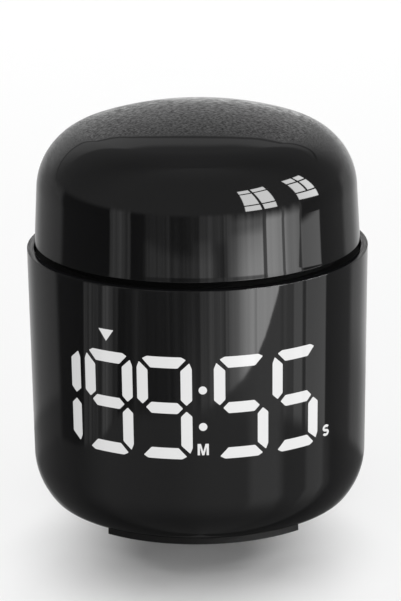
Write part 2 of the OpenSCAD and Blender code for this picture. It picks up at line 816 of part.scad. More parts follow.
module buzzer() {
    color([0.08, 0.08, 0.08]) translate([0, buzzer_y, board_z + board_t]) difference() {
        cylinder(d = buzzer_d, h = buzzer_h);
        translate([0, 0, buzzer_h - buzzer_deep]) cylinder(d = buzzer_hole, h = buzzer_deep + through);
    }
}

module encoder_case() {
    color([0.1, 0.1, 0.1]) difference() {
        translate([-case_w / 2, -case_l / 2, case_z]) cube([case_w, case_l, encoder_h]);
        translate([0, 0, case_z + case_floor]) cylinder(d = case_bore, h = encoder_h);
    }
}

module encoder_pins() {
    color("silver")
        for (p = encoder_pin_at) {
            inner = sign(p[1]) * case_l / 2;
            translate([p[0] - pin_w / 2, p[1] - contact_t / 2, board_z - pin_down])
                cube([pin_w, contact_t, board_t + pin_down + pin_rise]);
            translate([p[0] - pin_w / 2, min(inner, p[1]), board_z + board_t + pin_rise - contact_t])
                cube([pin_w, abs(p[1] - inner), contact_t]);
        }
}

module encoder_bushing() {
    color("silver") difference() {
        union() {
            translate([-case_w / 2, -case_l / 2, plate_z]) cube([case_w, case_l, bushing_plate_t]);
            translate([0, 0, plate_z]) cylinder(d = bushing_d, h = bushing_plate_t + bushing_h);
            for (side = [-1, 1])
                translate([side * leg_x - leg_t / 2, -leg_w / 2, board_z])
                    cube([leg_t, leg_w, plate_z + bushing_plate_t - board_z]);
            translate([-leg_x, -leg_w / 2, plate_z]) cube([2 * leg_x, leg_w, bushing_plate_t]);
        }
        translate([0, 0, plate_z - through])
            cylinder(d = shaft_d + 2 * bearing_play, h = bushing_h + bushing_plate_t + 2 * through);
        translate([0, 0, plate_z - through])
            cylinder(d = collar_d + 2 * run, h = collar_z + collar_t + touch - plate_z + through);
    }
}

module encoder_washer() {
    color("silver") ring(bushing_d / 2 + fit, washer_d / 2, deck_top, deck_top + washer_t);
}

module encoder_nut() {
    color("silver") difference() {
        translate([0, 0, deck_top + washer_t]) cylinder(d = nut_w / cos(30), h = nut_t, $fn = 6);
        translate([0, 0, deck_top]) cylinder(d = bushing_d + 2 * touch, h = nut_t + 2 * through);
    }
}

// Round bar with two flats, the lower end of the shaft
module plunger(play, h) {
    linear_extrude(h) intersection() {
        circle(d = plunger_d + 2 * play);
        square([plunger_flat + 2 * play, plunger_d + through], center = true);
    }
}

module encoder_rotor() {
    color([0.85, 0.85, 0.8]) difference() {
        translate([0, 0, rotor_z]) cylinder(d = rotor_d, h = rotor_t);
        translate([0, 0, rotor_z - through]) plunger(bearing_play, rotor_t + 2 * through);
        for (i = [1:rotor_notches])
            rotate([0, 0, 360 * i / rotor_notches])
                translate([rotor_d / 2, 0, rotor_z + rotor_t / 2]) cylinder(d = notch_d, h = rotor_t);
    }
}

// The shaft's round bar with one flat at its top
module keyed_bar(play, low, high) {
    difference() {
        translate([0, 0, low]) cylinder(d = shaft_d + 2 * play, h = high - low);
        translate([shaft_flat + play, -shaft_d, flat_z + play])
            cube([shaft_d, 2 * shaft_d, high - flat_z + through]);
    }
}

module encoder_shaft() {
    color("silver") {
        keyed_bar(0, collar_z, shaft_top);
        translate([0, 0, collar_z]) cylinder(d = collar_d, h = collar_t);
        translate([0, 0, shaft_z]) plunger(0, collar_z - shaft_z + touch);
    }
}

module detent_spring() {
    color("silver") ring(collar_d / 2 + run, case_bore / 2 - fit, plate_z - detent_t, plate_z);
}

module switch_dome() {
    low = case_z + case_floor;
    color([0.85, 0.75, 0.4]) rotate_extrude() intersection() {
        difference() {
            translate([0, low + dome_h - dome_round]) circle(dome_round);
            translate([0, low + dome_h - dome_round]) circle(dome_round - dome_t);
        }
        translate([0, low]) square([dome_d, dome_h]);
    }
}

module deck() {
    color([0.07, 0.07, 0.08]) difference() {
        union() {
            translate([0, 0, deck_z]) cylinder(r = deck_r, h = deck_t);
            for (p = board_screw_at)
                translate(concat(p, board_z + board_t))
                    cylinder(d = boss_d, h = deck_z - board_z - board_t + touch);
        }
        translate([0, 0, deck_z - through]) cylinder(d = bushing_d + 2 * fit, h = deck_t + 2 * through);
        for (a = column_angles)
            translate(concat(around(column_r, a), 0)) {
                translate([0, 0, deck_z - through]) cylinder(d = screw_pass_d, h = deck_t + 2 * through);
                translate([0, 0, deck_top - screw_head_h - touch])
                    cylinder(d = screw_head_d + 2 * fit, h = screw_head_h + through);
            }
        for (p = board_screw_at)
            translate(concat(p, board_z)) cylinder(d = screw_hole_d, h = board_t + screw_l / 2 + touch);
        translate([0, buzzer_y, deck_z - through]) {
            cylinder(d = sound_hole_d, h = deck_t + 2 * through);
            for (i = [1:sound_holes])
                rotate([0, 0, 360 * i / sound_holes]) translate([sound_ring_r, 0, 0])
                    cylinder(d = sound_hole_d, h = deck_t + 2 * through);
        }
    }
}

module deck_screws() {
    color("silver")
        for (a = column_angles)
            translate(concat(around(column_r, a), deck_top - screw_head_h - touch)) screw(screw_l);
}

module knob_dome() {
    color([0.05, 0.05, 0.06]) difference() {
        union() {
            dome_wall();
            intersection() {
                dome_space();
                for (a = post_angles)
                    rotate([0, 0, a]) translate([post_r, 0, carrier_top])
                        cylinder(d = post_d, h = knob_h);
            }
        }
        for (a = post_angles)
            rotate([0, 0, a]) translate([post_r, 0, carrier_top - through])
                cylinder(d = screw_hole_d, h = screw_l + through);
    }
}

module knob_carrier() {
    color([0.1, 0.1, 0.11]) difference() {
        union() {
            translate([0, 0, carrier_z]) cylinder(r = carrier_r, h = carrier_t);
            ring(carrier_r - neck_wall, carrier_r, neck_z, carrier_z + touch);
            translate([0, 0, hub_z]) cylinder(d = hub_d, h = hub_top - hub_z);
            for (i = [1:rib_count])
                rotate([0, 0, 360 * i / rib_count]) translate([0, rib_t / 2, 0]) rotate([90, 0, 0])
                    linear_extrude(rib_t)
                        polygon([[hub_d / 4, carrier_z], [rib_end, carrier_z],
                            [rib_end, carrier_top + rib_low], [hub_d / 4, carrier_top + rib_tall]]);
        }
        keyed_bar(bearing_play, hub_z - through, shaft_top + touch);
        for (a = post_angles)
            rotate([0, 0, a]) translate([post_r, 0, carrier_z - through])
                cylinder(d = screw_pass_d, h = carrier_t + 2 * through);
    }
}

module dome_screws() {
    color("silver")
        for (a = post_angles)
            rotate([0, 0, a]) translate([post_r, 0, carrier_z]) mirror([0, 0, 1])
                screw(carrier_t + screw_l - through);
}

body_shell();
chassis();
chassis_screws();
battery_door();
battery_1();
battery_2();
battery_3();
battery_springs();
contact_positive();
contact_negative();
contact_link_rear();
contact_link_front();
positive_lead();
negative_lead();
light_frame();
lit_segments();
unlit_segments();
display_flex();
display_leds();
display_header();
main_board();
board_screws();
controller_chip();
board_capacitor();
timing_crystal();
buzzer();
encoder_case();
encoder_pins();
encoder_bushing();
encoder_nut();
encoder_washer();
encoder_rotor();
encoder_shaft();
detent_spring();
switch_dome();
deck();
deck_screws();
knob_dome();
knob_carrier();
dome_screws();
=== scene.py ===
import json
import math

import bmesh
import bpy
from mathutils import Matrix, Vector


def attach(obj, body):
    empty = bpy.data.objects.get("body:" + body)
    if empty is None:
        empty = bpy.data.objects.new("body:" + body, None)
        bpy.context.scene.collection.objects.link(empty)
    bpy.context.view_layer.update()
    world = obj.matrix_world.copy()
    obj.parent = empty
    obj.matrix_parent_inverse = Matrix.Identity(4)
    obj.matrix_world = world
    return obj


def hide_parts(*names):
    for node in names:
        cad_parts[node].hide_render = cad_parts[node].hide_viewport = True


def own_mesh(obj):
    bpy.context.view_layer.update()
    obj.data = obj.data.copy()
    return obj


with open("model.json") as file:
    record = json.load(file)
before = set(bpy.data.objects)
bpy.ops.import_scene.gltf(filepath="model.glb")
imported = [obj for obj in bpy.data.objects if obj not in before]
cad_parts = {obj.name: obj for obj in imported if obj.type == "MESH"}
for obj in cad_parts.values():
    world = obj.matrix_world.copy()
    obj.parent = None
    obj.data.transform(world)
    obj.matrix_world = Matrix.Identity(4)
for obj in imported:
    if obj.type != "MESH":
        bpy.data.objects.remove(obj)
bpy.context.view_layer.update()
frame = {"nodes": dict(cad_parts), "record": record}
nodes_by_name = frame["nodes"]
scene = bpy.context.scene
MM = 0.001
# Points closer than this, in metres, are merged
MERGE = 2e-7
# Edges that bend more than this stay sharp
SHARP = math.radians(35)

# Body, in millimetres: the sizes of the part's source, and the rings of faces on its side
BODY_R = 32.5
BODY_DRAFT = math.radians(0.6)
RIM_Z = 50.4
RIM_WALL = 1.3
RIM_LIP = 0.1
WALL = 2.0
DECK_Z = RIM_Z - 4.0
BASE_GAP = 0.75
BASE_FILLET = 13.0
BASE_EDGE = 2.9
BASE_BLEND = math.radians(38)
BASE_CORE = 12.0
SIDE_RINGS = (18, 26, 34, 42, RIM_Z - 1.5, RIM_Z - RIM_LIP - 0.1)

# Opening for the foot, and the screw bosses beside it
FOOT_HW = 17.9
FOOT_R = 28.5
FIT = 0.25
OPENING_H = 6.0
OPENING_Z = 2.25
BOSS_X = 21.2
BOSS_Y = 10.5
BOSS_R = 2.7
BOSS_SINK = 0.5
FLANGE_Z = 6.0
PILOT_R = 1.0

# Knob and its screw posts
KNOB_R = 31.0
KNOB_Z = RIM_Z + 1.1
KNOB_TOP = KNOB_Z + 25.7
KNOB_DRAFT = math.radians(3.2)
KNOB_SHOULDER = 12.7
KNOB_CROWN = 66.0
KNOB_WALL = 2.0
KNOB_LIP = 0.12
POST_R = 18.0
POST_D = 5.6
POST_Z = 54.8
POST_TOP = 71.5
POST_ANGLES = (30, 150, 270)

# Spring dome of the press switch
SNAP_Z = 40.85
SNAP_R = 2.5
SNAP_H = 0.65
SNAP_T = 0.12

# Faces round each turned form
ROUND_STEPS = 192
POST_STEPS = 32
SNAP_STEPS = 48


def side_r(z):
    """Outside radius of the body's straight side."""
    return BODY_R - math.tan(BODY_DRAFT) * (RIM_Z - z)


# Centres of the two arcs at the body's base, and height of the centre of the knob's crown
EDGE_Z = BASE_GAP + BASE_EDGE
FILLET_Z = EDGE_Z + (BASE_FILLET - BASE_EDGE) * math.sin(BASE_BLEND)
FILLET_R = side_r(FILLET_Z) - BASE_FILLET / math.cos(BODY_DRAFT)
EDGE_R = FILLET_R + (BASE_FILLET - BASE_EDGE) * math.cos(BASE_BLEND)
CROWN_Z = KNOB_TOP - KNOB_CROWN


def knob_shoulder_centre():
    """Centre of the shoulder arc, which touches the knob's side and its crown."""
    start = Vector((KNOB_R - KNOB_SHOULDER * math.cos(KNOB_DRAFT),
                    KNOB_Z - KNOB_SHOULDER * math.sin(KNOB_DRAFT)))
    up = Vector((-math.sin(KNOB_DRAFT), math.cos(KNOB_DRAFT)))
    off = start - Vector((0, CROWN_Z))
    along = off.dot(up)
    reach = KNOB_CROWN - KNOB_SHOULDER
    return start + up * (math.sqrt(along * along - (off.dot(off) - reach ** 2)) - along)


SHOULDER = knob_shoulder_centre()
CROWN_ANGLE = math.atan2(SHOULDER.y - CROWN_Z, SHOULDER.x)

# Camera, fitted to the photograph's outlines, with its place in millimetres
CAMERA_TURN = math.radians(-1.35)
CAMERA_PITCH = math.radians(-16.82)
CAMERA_YAW = math.radians(0.051)
CAMERA_ROLL = math.radians(-0.637)
CAMERA_BACK = 527.8
CAMERA_RISE = 148.0
CAMERA_FROM_Z = 50.43
CAMERA_LENS = 171.98
CAMERA_SENSOR = 36
CAMERA_NEAR = 0.01
CAMERA_FAR = 20


def place_camera():
    """The photograph's view: a long lens, a little above the rim and turned a little to the left."""
    heading = Matrix.Rotation(CAMERA_TURN, 3, "Z")
    level = math.cos(CAMERA_PITCH)
    look = Vector((math.sin(CAMERA_YAW) * level, math.cos(CAMERA_YAW) * level, math.sin(CAMERA_PITCH)))
    level_right = look.cross(Vector((0, 0, 1))).normalized()
    level_up = level_right.cross(look)
    right = level_right * math.cos(CAMERA_ROLL) + level_up * math.sin(CAMERA_ROLL)
    up = level_up * math.cos(CAMERA_ROLL) - level_right * math.sin(CAMERA_ROLL)
    place = heading @ Vector((0, -CAMERA_BACK, CAMERA_RISE)) + Vector((0, 0, CAMERA_FROM_Z))
    look, right, up = heading @ look, heading @ right, heading @ up
    data = bpy.data.cameras.new("photo_camera")
    data.lens = CAMERA_LENS
    data.sensor_fit = "VERTICAL"
    data.sensor_height = CAMERA_SENSOR
    data.clip_start = CAMERA_NEAR
    data.clip_end = CAMERA_FAR
    camera = bpy.data.objects.new("photo_camera", data)
    camera.matrix_world = Matrix((
        (right.x, up.x, -look.x, place.x * MM),
        (right.y, up.y, -look.y, place.y * MM),
        (right.z, up.z, -look.z, place.z * MM),
        (0, 0, 0, 1)))
    scene.collection.objects.link(camera)
    scene.camera = camera


place_camera()


def grey(value):
    return (value, value, value, 1)


# Node groups that several finishes share
COLOUR = "NodeSocketColor"
NUMBER = "NodeSocketFloat"
GRAIN_OUTPUTS = [("Color", COLOUR), ("Roughness", NUMBER), ("Height", NUMBER)]
GRAIN_BROAD = 60.0
GRAIN_FINE = 2500.0
DRAWN_SCALE = 900.0
DRAWN_STRETCH = (0.05, 1, 1)


def new_group(name, inputs, outputs):
    group = bpy.data.node_groups.new(name, "ShaderNodeTree")
    for label, kind, value in inputs:
        socket = group.interface.new_socket(label, in_out="INPUT", socket_type=kind)
        socket.default_value = value
    for label, kind in outputs:
        group.interface.new_socket(label, in_out="OUTPUT", socket_type=kind)
    return group, group.nodes.new("NodeGroupInput"), group.nodes.new("NodeGroupOutput")


def colour_and_roughness(group, give, take, noise):
    """Takes a group's colour and roughness from low to high by one noise."""
    mix = group.nodes.new("ShaderNodeMix")
    mix.data_type = "RGBA"
    rough = group.nodes.new("ShaderNodeMapRange")
    link = group.links.new
    link(noise.outputs["Fac"], mix.inputs["Factor"])
    link(give.outputs["Dark"], mix.inputs["A"])
    link(give.outputs["Light"], mix.inputs["B"])
    link(noise.outputs["Fac"], rough.inputs["Value"])
    link(give.outputs["Rough Low"], rough.inputs["To Min"])
    link(give.outputs["Rough High"], rough.inputs["To Max"])
    link(mix.outputs["Result"], take.inputs["Color"])
    link(rough.outputs["Result"], take.inputs["Roughness"])
    return rough


def moulded_grain_group():
    """Two scales of noise: broad changes of colour and roughness, and a fine height for a bump."""
    group, give, take = new_group(
        "moulded_grain",
        [("Dark", COLOUR, grey(0.01)), ("Light", COLOUR, grey(0.02)),
         ("Broad Scale", NUMBER, GRAIN_BROAD), ("Fine Scale", NUMBER, GRAIN_FINE),
         ("Rough Low", NUMBER, 0.3), ("Rough High", NUMBER, 0.4)],
        GRAIN_OUTPUTS)
    coords = group.nodes.new("ShaderNodeTexCoord")
    broad = group.nodes.new("ShaderNodeTexNoise")
    broad.inputs["Detail"].default_value = 4
    fine = group.nodes.new("ShaderNodeTexNoise")
    fine.inputs["Detail"].default_value = 2
    link = group.links.new
    link(coords.outputs["Object"], broad.inputs["Vector"])
    link(coords.outputs["Object"], fine.inputs["Vector"])
    link(give.outputs["Broad Scale"], broad.inputs["Scale"])
    link(give.outputs["Fine Scale"], fine.inputs["Scale"])
    rough = colour_and_roughness(group, give, take, broad)
    rough.inputs["From Min"].default_value = 0.3
    rough.inputs["From Max"].default_value = 0.7
    link(fine.outputs["Fac"], take.inputs["Height"])
    return group


def drawn_metal_group():
    """Streaks along X, as on stamped and drawn metal."""
    group, give, take = new_group(
        "drawn_metal",
        [("Dark", COLOUR, grey(0.5)), ("Light", COLOUR, grey(0.8)), ("Scale", NUMBER, DRAWN_SCALE),
         ("Rough Low", NUMBER, 0.2), ("Rough High", NUMBER, 0.4)],
        GRAIN_OUTPUTS)
    coords = group.nodes.new("ShaderNodeTexCoord")
    stretch = group.nodes.new("ShaderNodeMapping")
    stretch.inputs["Scale"].default_value = DRAWN_STRETCH
    noise = group.nodes.new("ShaderNodeTexNoise")
    noise.inputs["Detail"].default_value = 3
    link = group.links.new
    link(coords.outputs["Object"], stretch.inputs["Vector"])
    link(stretch.outputs["Vector"], noise.inputs["Vector"])
    link(give.outputs["Scale"], noise.inputs["Scale"])
    colour_and_roughness(group, give, take, noise)
    link(noise.outputs["Fac"], take.inputs["Height"])
    return group


MOULDED = moulded_grain_group()
DRAWN = drawn_metal_group()

# Bumps, as strength and height in metres
FINE_GRAIN = (0.15, 0.00004)
MATTE_GRAIN = (0.25, 0.00005)
MOULD_WAVES = (0.006, 0.0002)
METAL_GRAIN = (0.1, 0.00002)
TRACK_RELIEF = (0.3, 0.00004)

# Glow of the lit figures: stops of place and brightness from the display's left to its right
LIT_REACH = 30
LIT_GLOW = [(0.067, 0.63), (0.21, 0.8), (0.5, 0.94), (0.75, 0.97)]
LIT_STRENGTH = 0.79

# Circuit boards
TRACK_WIDTH = 0.035
TRACK_OFFSET = 0.37
SECOND_LACQUER = 0.8

# A cell lies along Y, and its end faces are those whose normals have more than this along it
END_FACE = 0.7


def new_material(name):
    material = bpy.data.materials.new(name)
    material.use_nodes = True
    return material, material.node_tree, material.node_tree.nodes["Principled BSDF"]


def use_group(tree, group, values):
    """Places a shared group in a material, with the material's own values."""
    node = tree.nodes.new("ShaderNodeGroup")
    node.node_tree = group
    for label, value in values.items():
        node.inputs[label].default_value = value
    return node


def grain_values(dark, light, rough, **others):
    return {"Dark": dark, "Light": light, "Rough Low": rough[0], "Rough High": rough[1], **others}


def relief(tree, height, bump, surface):
    node = tree.nodes.new("ShaderNodeBump")
    node.inputs["Strength"].default_value = bump[0]
    node.inputs["Distance"].default_value = bump[1]
    tree.links.new(height, node.inputs["Height"])
    tree.links.new(node.outputs["Normal"], surface.inputs["Normal"])


def grained(name, group, values, bump, metallic=0.0, shine=0.5):
    """A finish whose colour, roughness and bump come from one of the shared groups."""
    material, tree, surface = new_material(name)
    grain = use_group(tree, group, values)
    tree.links.new(grain.outputs["Color"], surface.inputs["Base Color"])
    tree.links.new(grain.outputs["Roughness"], surface.inputs["Roughness"])
    relief(tree, grain.outputs["Height"], bump, surface)
    surface.inputs["Metallic"].default_value = metallic
    surface.inputs["Specular IOR Level"].default_value = shine
    return material


def plastic(name, dark, light, rough, bump=FINE_GRAIN, shine=0.5):
    scales = {"Broad Scale": GRAIN_BROAD, "Fine Scale": GRAIN_FINE}
    return grained(name, MOULDED, grain_values(dark, light, rough, **scales), bump, shine=shine)


def metal(name, dark, light, rough):
    values = grain_values(dark, light, rough, Scale=DRAWN_SCALE)
    return grained(name, DRAWN, values, METAL_GRAIN, metallic=1.0)


def gloss_black():
    """Polished black moulding, with the slight waves of its mould."""
    scales = {"Broad Scale": 55.0, "Fine Scale": 140.0}
    dark, light = (0.0035, 0.0035, 0.0038, 1), (0.0055, 0.0055, 0.006, 1)
    values = grain_values(dark, light, (0.012, 0.028), **scales)
    return grained("gloss_black_plastic", MOULDED, values, MOULD_WAVES)


def lit_white():
    """The lit figures: white light in a glossy skin, a little dimmer towards the display's left end."""
    material, tree, surface = new_material("lit_white")
    link = tree.links.new
    values = grain_values(grey(0.10), grey(0.13), (0.06, 0.1), **{"Broad Scale": 300.0})
    grain = use_group(tree, MOULDED, values)
    link(grain.outputs["Color"], surface.inputs["Base Color"])
    link(grain.outputs["Roughness"], surface.inputs["Roughness"])
    coords = tree.nodes.new("ShaderNodeTexCoord")
    split = tree.nodes.new("ShaderNodeSeparateXYZ")
    link(coords.outputs["Object"], split.inputs["Vector"])
    across = tree.nodes.new("ShaderNodeMapRange")
    across.inputs["From Min"].default_value = -LIT_REACH * MM
    across.inputs["From Max"].default_value = LIT_REACH * MM
    link(split.outputs["X"], across.inputs["Value"])
    glow = tree.nodes.new("ShaderNodeValToRGB")
    stops = glow.color_ramp.elements
    for stop, (place, level) in zip(stops, (LIT_GLOW[0], LIT_GLOW[-1])):
        stop.position = place
        stop.color = grey(level)
    for place, level in LIT_GLOW[1:-1]:
        stops.new(place).color = grey(level)
    link(across.outputs["Result"], glow.inputs["Fac"])
    link(glow.outputs["Color"], surface.inputs["Emission Color"])
    surface.inputs["Emission Strength"].default_value = LIT_STRENGTH
    return material


def by_end_face(name, wrap_dark, wrap_light):
    """A cell: a plain wrap round its side, and bare metal on its end faces."""
    material, tree, surface = new_material(name)
    link = tree.links.new
    values = grain_values(wrap_dark, wrap_light, (0.25, 0.35), **{"Broad Scale": 90.0})
    wrap = use_group(tree, MOULDED, values)
    bare = use_group(tree, DRAWN, {})
    form = tree.nodes.new("ShaderNodeNewGeometry")
    split = tree.nodes.new("ShaderNodeSeparateXYZ")
    link(form.outputs["Normal"], split.inputs["Vector"])
    along = tree.nodes.new("ShaderNodeMath")
    along.operation = "ABSOLUTE"
    link(split.outputs["Y"], along.inputs[0])
    end = tree.nodes.new("ShaderNodeMath")
    end.operation = "GREATER_THAN"
    end.inputs[1].default_value = END_FACE
    link(along.outputs["Value"], end.inputs[0])
    colour = tree.nodes.new("ShaderNodeMix")
    colour.data_type = "RGBA"
    link(end.outputs["Value"], colour.inputs["Factor"])
    link(wrap.outputs["Color"], colour.inputs["A"])
    link(bare.outputs["Color"], colour.inputs["B"])
    link(colour.outputs["Result"], surface.inputs["Base Color"])
    link(end.outputs["Value"], surface.inputs["Metallic"])
    link(wrap.outputs["Roughness"], surface.inputs["Roughness"])
    return material


def traced_board(name, base, track, scale):
    """A circuit board: lacquer with a fine maze of tracks under it."""
    material, tree, surface = new_material(name)
    link = tree.links.new
    coords = tree.nodes.new("ShaderNodeTexCoord")
    brick = tree.nodes.new("ShaderNodeTexBrick")
    brick.offset = TRACK_OFFSET
    brick.inputs["Scale"].default_value = scale
    brick.inputs["Mortar Size"].default_value = TRACK_WIDTH
    brick.inputs["Color1"].default_value = base
    brick.inputs["Color2"].default_value = tuple(SECOND_LACQUER * c for c in base[:3]) + (1,)
    brick.inputs["Mortar"].default_value = track
    link(coords.outputs["Object"], brick.inputs["Vector"])
    values = grain_values(grey(0.75), grey(1.0), (0.25, 0.4), **{"Broad Scale": 120.0})
    grain = use_group(tree, MOULDED, values)
    colour = tree.nodes.new("ShaderNodeMix")
    colour.data_type = "RGBA"
    colour.blend_type = "MULTIPLY"
    colour.inputs["Factor"].default_value = 1
    link(brick.outputs["Color"], colour.inputs["A"])
    link(grain.outputs["Color"], colour.inputs["B"])
    link(colour.outputs["Result"], surface.inputs["Base Color"])
    link(grain.outputs["Roughness"], surface.inputs["Roughness"])
    relief(tree, brick.outputs["Fac"], TRACK_RELIEF, surface)
    return material


# Finishes, by the record's material slots
GLOSS_BLACK = gloss_black()
LIT_WHITE = lit_white()
FINISHES = {
    "gloss_black": GLOSS_BLACK,
    "matte_black": plastic("matte_black_plastic", grey(0.008), grey(0.013), (0.5, 0.62), MATTE_GRAIN,
                           shine=0.28),
    "steel": metal("stamped_steel", grey(0.45), grey(0.66), (0.2, 0.38)),
    "cell": by_end_face("cell_wrap", (0.02, 0.06, 0.10, 1), (0.03, 0.09, 0.14, 1)),
    "lead_red": plastic("red_lead_sleeve", (0.35, 0.012, 0.01, 1), (0.48, 0.02, 0.016, 1), (0.4, 0.5)),
    "lead_black": plastic("black_lead_sleeve", grey(0.01), grey(0.02), (0.4, 0.5)),
    "white_plastic": plastic("white_reflector", grey(0.66), grey(0.78), (0.4, 0.55)),
    "lit_resin": LIT_WHITE,
    "grey_resin": plastic("grey_diffuser", grey(0.07), grey(0.10), (0.25, 0.35)),
    "flex_amber": traced_board("amber_flex_board", (0.30, 0.13, 0.02, 1), (0.45, 0.22, 0.05, 1), 700.0),
    "lamp": plastic("lamp_resin", (0.75, 0.66, 0.30, 1), (0.85, 0.78, 0.45, 1), (0.1, 0.2)),
    "black_plastic": plastic("black_component_plastic", grey(0.008), grey(0.014), (0.35, 0.5)),
    "board_green": traced_board("green_board", (0.006, 0.07, 0.025, 1), (0.02, 0.16, 0.06, 1), 260.0),
    "capacitor_can": plastic("capacitor_sleeve", (0.01, 0.012, 0.04, 1), (0.016, 0.02, 0.06, 1),
                             (0.25, 0.35)),
}
# Painted shade: the pieces deep in the slot under the knob get a near-black, darker than their own matte
# black, for the dark of the slot
SLOT_SHADE_BLACK = plastic("slot_painted_shade_plastic", grey(0.0015), grey(0.0025), (0.6, 0.7), MATTE_GRAIN, shine=0.1)
SHADED_IN_SLOT = ("knob_carrier", "deck")
# Inner pieces shade the floor in the body's place, so that it is pale beside the body, as photographed
SHADES_FLOOR = ("main_board", "battery_door")
DIMS_FLOOR = ("chassis", "battery_door")
for part in frame["record"]["subparts"]:
    node_name = part["node"]
    piece = nodes_by_name[node_name]
    piece.visible_shadow = node_name in SHADES_FLOOR
    piece.visible_diffuse = node_name in DIMS_FLOOR
    piece.data.materials.clear()
    piece.data.materials.append(SLOT_SHADE_BLACK if node_name in SHADED_IN_SLOT else FINISHES[part["material_slot"]])


# Pieces
def arc(centre, radius, start, end, steps):
    angles = [start + (end - start) * i / steps for i in range(steps + 1)]
    return [(centre[0] + radius * math.cos(a), centre[1] + radius * math.sin(a)) for a in angles]


def spin_outline(bm, outline, steps, centre=(0, 0), closed=False):
    """Spins an outline of radius and height, in millimetres, round an upright line."""
    verts = [bm.verts.new(((centre[0] + r) * MM, centre[1] * MM, z * MM)) for r, z in outline]
    pairs = list(zip(verts, verts[1:]))
    if closed:
        pairs.append((verts[-1], verts[0]))
    edges = [bm.edges.new(pair) for pair in pairs]
    bmesh.ops.spin(bm, geom=verts + edges, cent=(centre[0] * MM, centre[1] * MM, 0), axis=(0, 0, 1),
                   angle=2 * math.pi, steps=steps, use_merge=True)


def sleeve(bm, outer, low, high, place):
    """An upright post with a screw's pilot hole."""
    outline = [(PILOT_R, low), (outer, low), (outer, high), (PILOT_R, high)]
    spin_outline(bm, outline, POST_STEPS, place, closed=True)


def close_up(bm):
    """Merges doubles and points the faces outwards."""
    bmesh.ops.remove_doubles(bm, verts=bm.verts, dist=MERGE)
    bmesh.ops.recalc_face_normals(bm, faces=bm.faces)


def mesh_object(bm, name):
    mesh = bpy.data.meshes.new(name)
    bm.to_mesh(mesh)
    bm.free()
    made = bpy.data.objects.new(name, mesh)
    scene.collection.objects.link(made)
    return made


def finish_piece(bm, name, body, material, stands_for=()):
    """Makes a smooth-shaded object that moves with a body and stands for some of the source's nodes."""
    close_up(bm)
    piece = mesh_object(bm, name)
    for face in piece.data.polygons:
        face.use_smooth = True
    piece.data.set_sharp_from_angle(angle=SHARP)
    piece.data.materials.append(material)
    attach(piece, body)
    if stands_for:
        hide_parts(*stands_for)
    return piece


def knob_cap():
    """The domed knob: polished shell with a rounded lower edge, and its three screw posts."""
    lip = KNOB_LIP
    straight = SHOULDER.y + KNOB_SHOULDER * math.sin(KNOB_DRAFT) - KNOB_Z
    rings = [0.75 * straight, 0.5 * straight, 0.25 * straight, 1.0, lip + 0.1]
    outline = arc((0, CROWN_Z), KNOB_CROWN, math.pi / 2, CROWN_ANGLE, steps=24)
    outline += arc(SHOULDER, KNOB_SHOULDER, CROWN_ANGLE, KNOB_DRAFT, steps=40)[1:]
    outline += [(KNOB_R - z * math.tan(KNOB_DRAFT), KNOB_Z + z) for z in rings]
    outline += arc((KNOB_R - lip, KNOB_Z + lip), lip, KNOB_DRAFT, -math.pi / 2, steps=6)
    outline += arc((KNOB_R - KNOB_WALL + lip, KNOB_Z + lip), lip, -math.pi / 2, -math.pi, steps=4)
    outline += arc(SHOULDER, KNOB_SHOULDER - KNOB_WALL, KNOB_DRAFT, CROWN_ANGLE, steps=20)
    outline += arc((0, CROWN_Z), KNOB_CROWN - KNOB_WALL, CROWN_ANGLE, math.pi / 2, steps=10)[1:]
    bm = bmesh.new()
    spin_outline(bm, outline, ROUND_STEPS)
    for angle in POST_ANGLES:
        place = (POST_R * math.cos(math.radians(angle)), POST_R * math.sin(math.radians(angle)))
        sleeve(bm, POST_D / 2, POST_Z, POST_TOP, place)
    return finish_piece(bm, "knob_cap", "knob", GLOSS_BLACK, stands_for=["knob_dome"])


def foot_cutter():
    """The strip-shaped opening that the foot passes through."""
    bm = bmesh.new()
    radius = (FOOT_R + FIT) * MM
    bmesh.ops.create_cone(bm, cap_ends=True, segments=ROUND_STEPS, radius1=radius, radius2=radius,
                          depth=OPENING_H * MM)
    for side in (-1, 1):
        cut = bmesh.ops.bisect_plane(bm, geom=bm.verts[:] + bm.edges[:] + bm.faces[:],
                                     plane_co=(side * (FOOT_HW + FIT) * MM, 0, 0), plane_no=(side, 0, 0),
                                     clear_outer=True)
        edges = [g for g in cut["geom_cut"] if isinstance(g, bmesh.types.BMEdge)]
        bmesh.ops.edgeloop_fill(bm, edges=edges)
    bmesh.ops.translate(bm, verts=bm.verts, vec=(0, 0, OPENING_Z * MM))
    bmesh.ops.recalc_face_normals(bm, faces=bm.faces)
    return mesh_object(bm, "foot_cutter")


def shell_blank():
    """The body's cup before the foot's opening is cut."""
    lip = RIM_LIP
    outline = [(BASE_CORE, BASE_GAP)]
    outline += arc((EDGE_R, EDGE_Z), BASE_EDGE, -math.pi / 2, -BASE_BLEND, steps=14)
    outline += arc((FILLET_R, FILLET_Z), BASE_FILLET, -BASE_BLEND, -BODY_DRAFT, steps=30)[1:]
    outline += [(side_r(z), z) for z in SIDE_RINGS]
    outline += arc((side_r(RIM_Z - lip) - lip, RIM_Z - lip), lip, -BODY_DRAFT, math.pi / 2, steps=6)
    outline += arc((BODY_R - RIM_WALL + lip, RIM_Z - lip), lip, math.pi / 2, math.pi, steps=6)
    outline += [(BODY_R - RIM_WALL, DECK_Z), (side_r(DECK_Z) - WALL, DECK_Z)]
    outline += arc((FILLET_R, FILLET_Z), BASE_FILLET - WALL, -BODY_DRAFT, -BASE_BLEND, steps=12)
    outline += arc((EDGE_R, EDGE_Z), BASE_EDGE - WALL, -BASE_BLEND, -math.pi / 2, steps=6)[1:]
    outline += [(BASE_CORE, BASE_GAP + WALL)]
    bm = bmesh.new()
    spin_outline(bm, outline, ROUND_STEPS, closed=True)
    close_up(bm)
    return mesh_object(bm, "shell_blank")


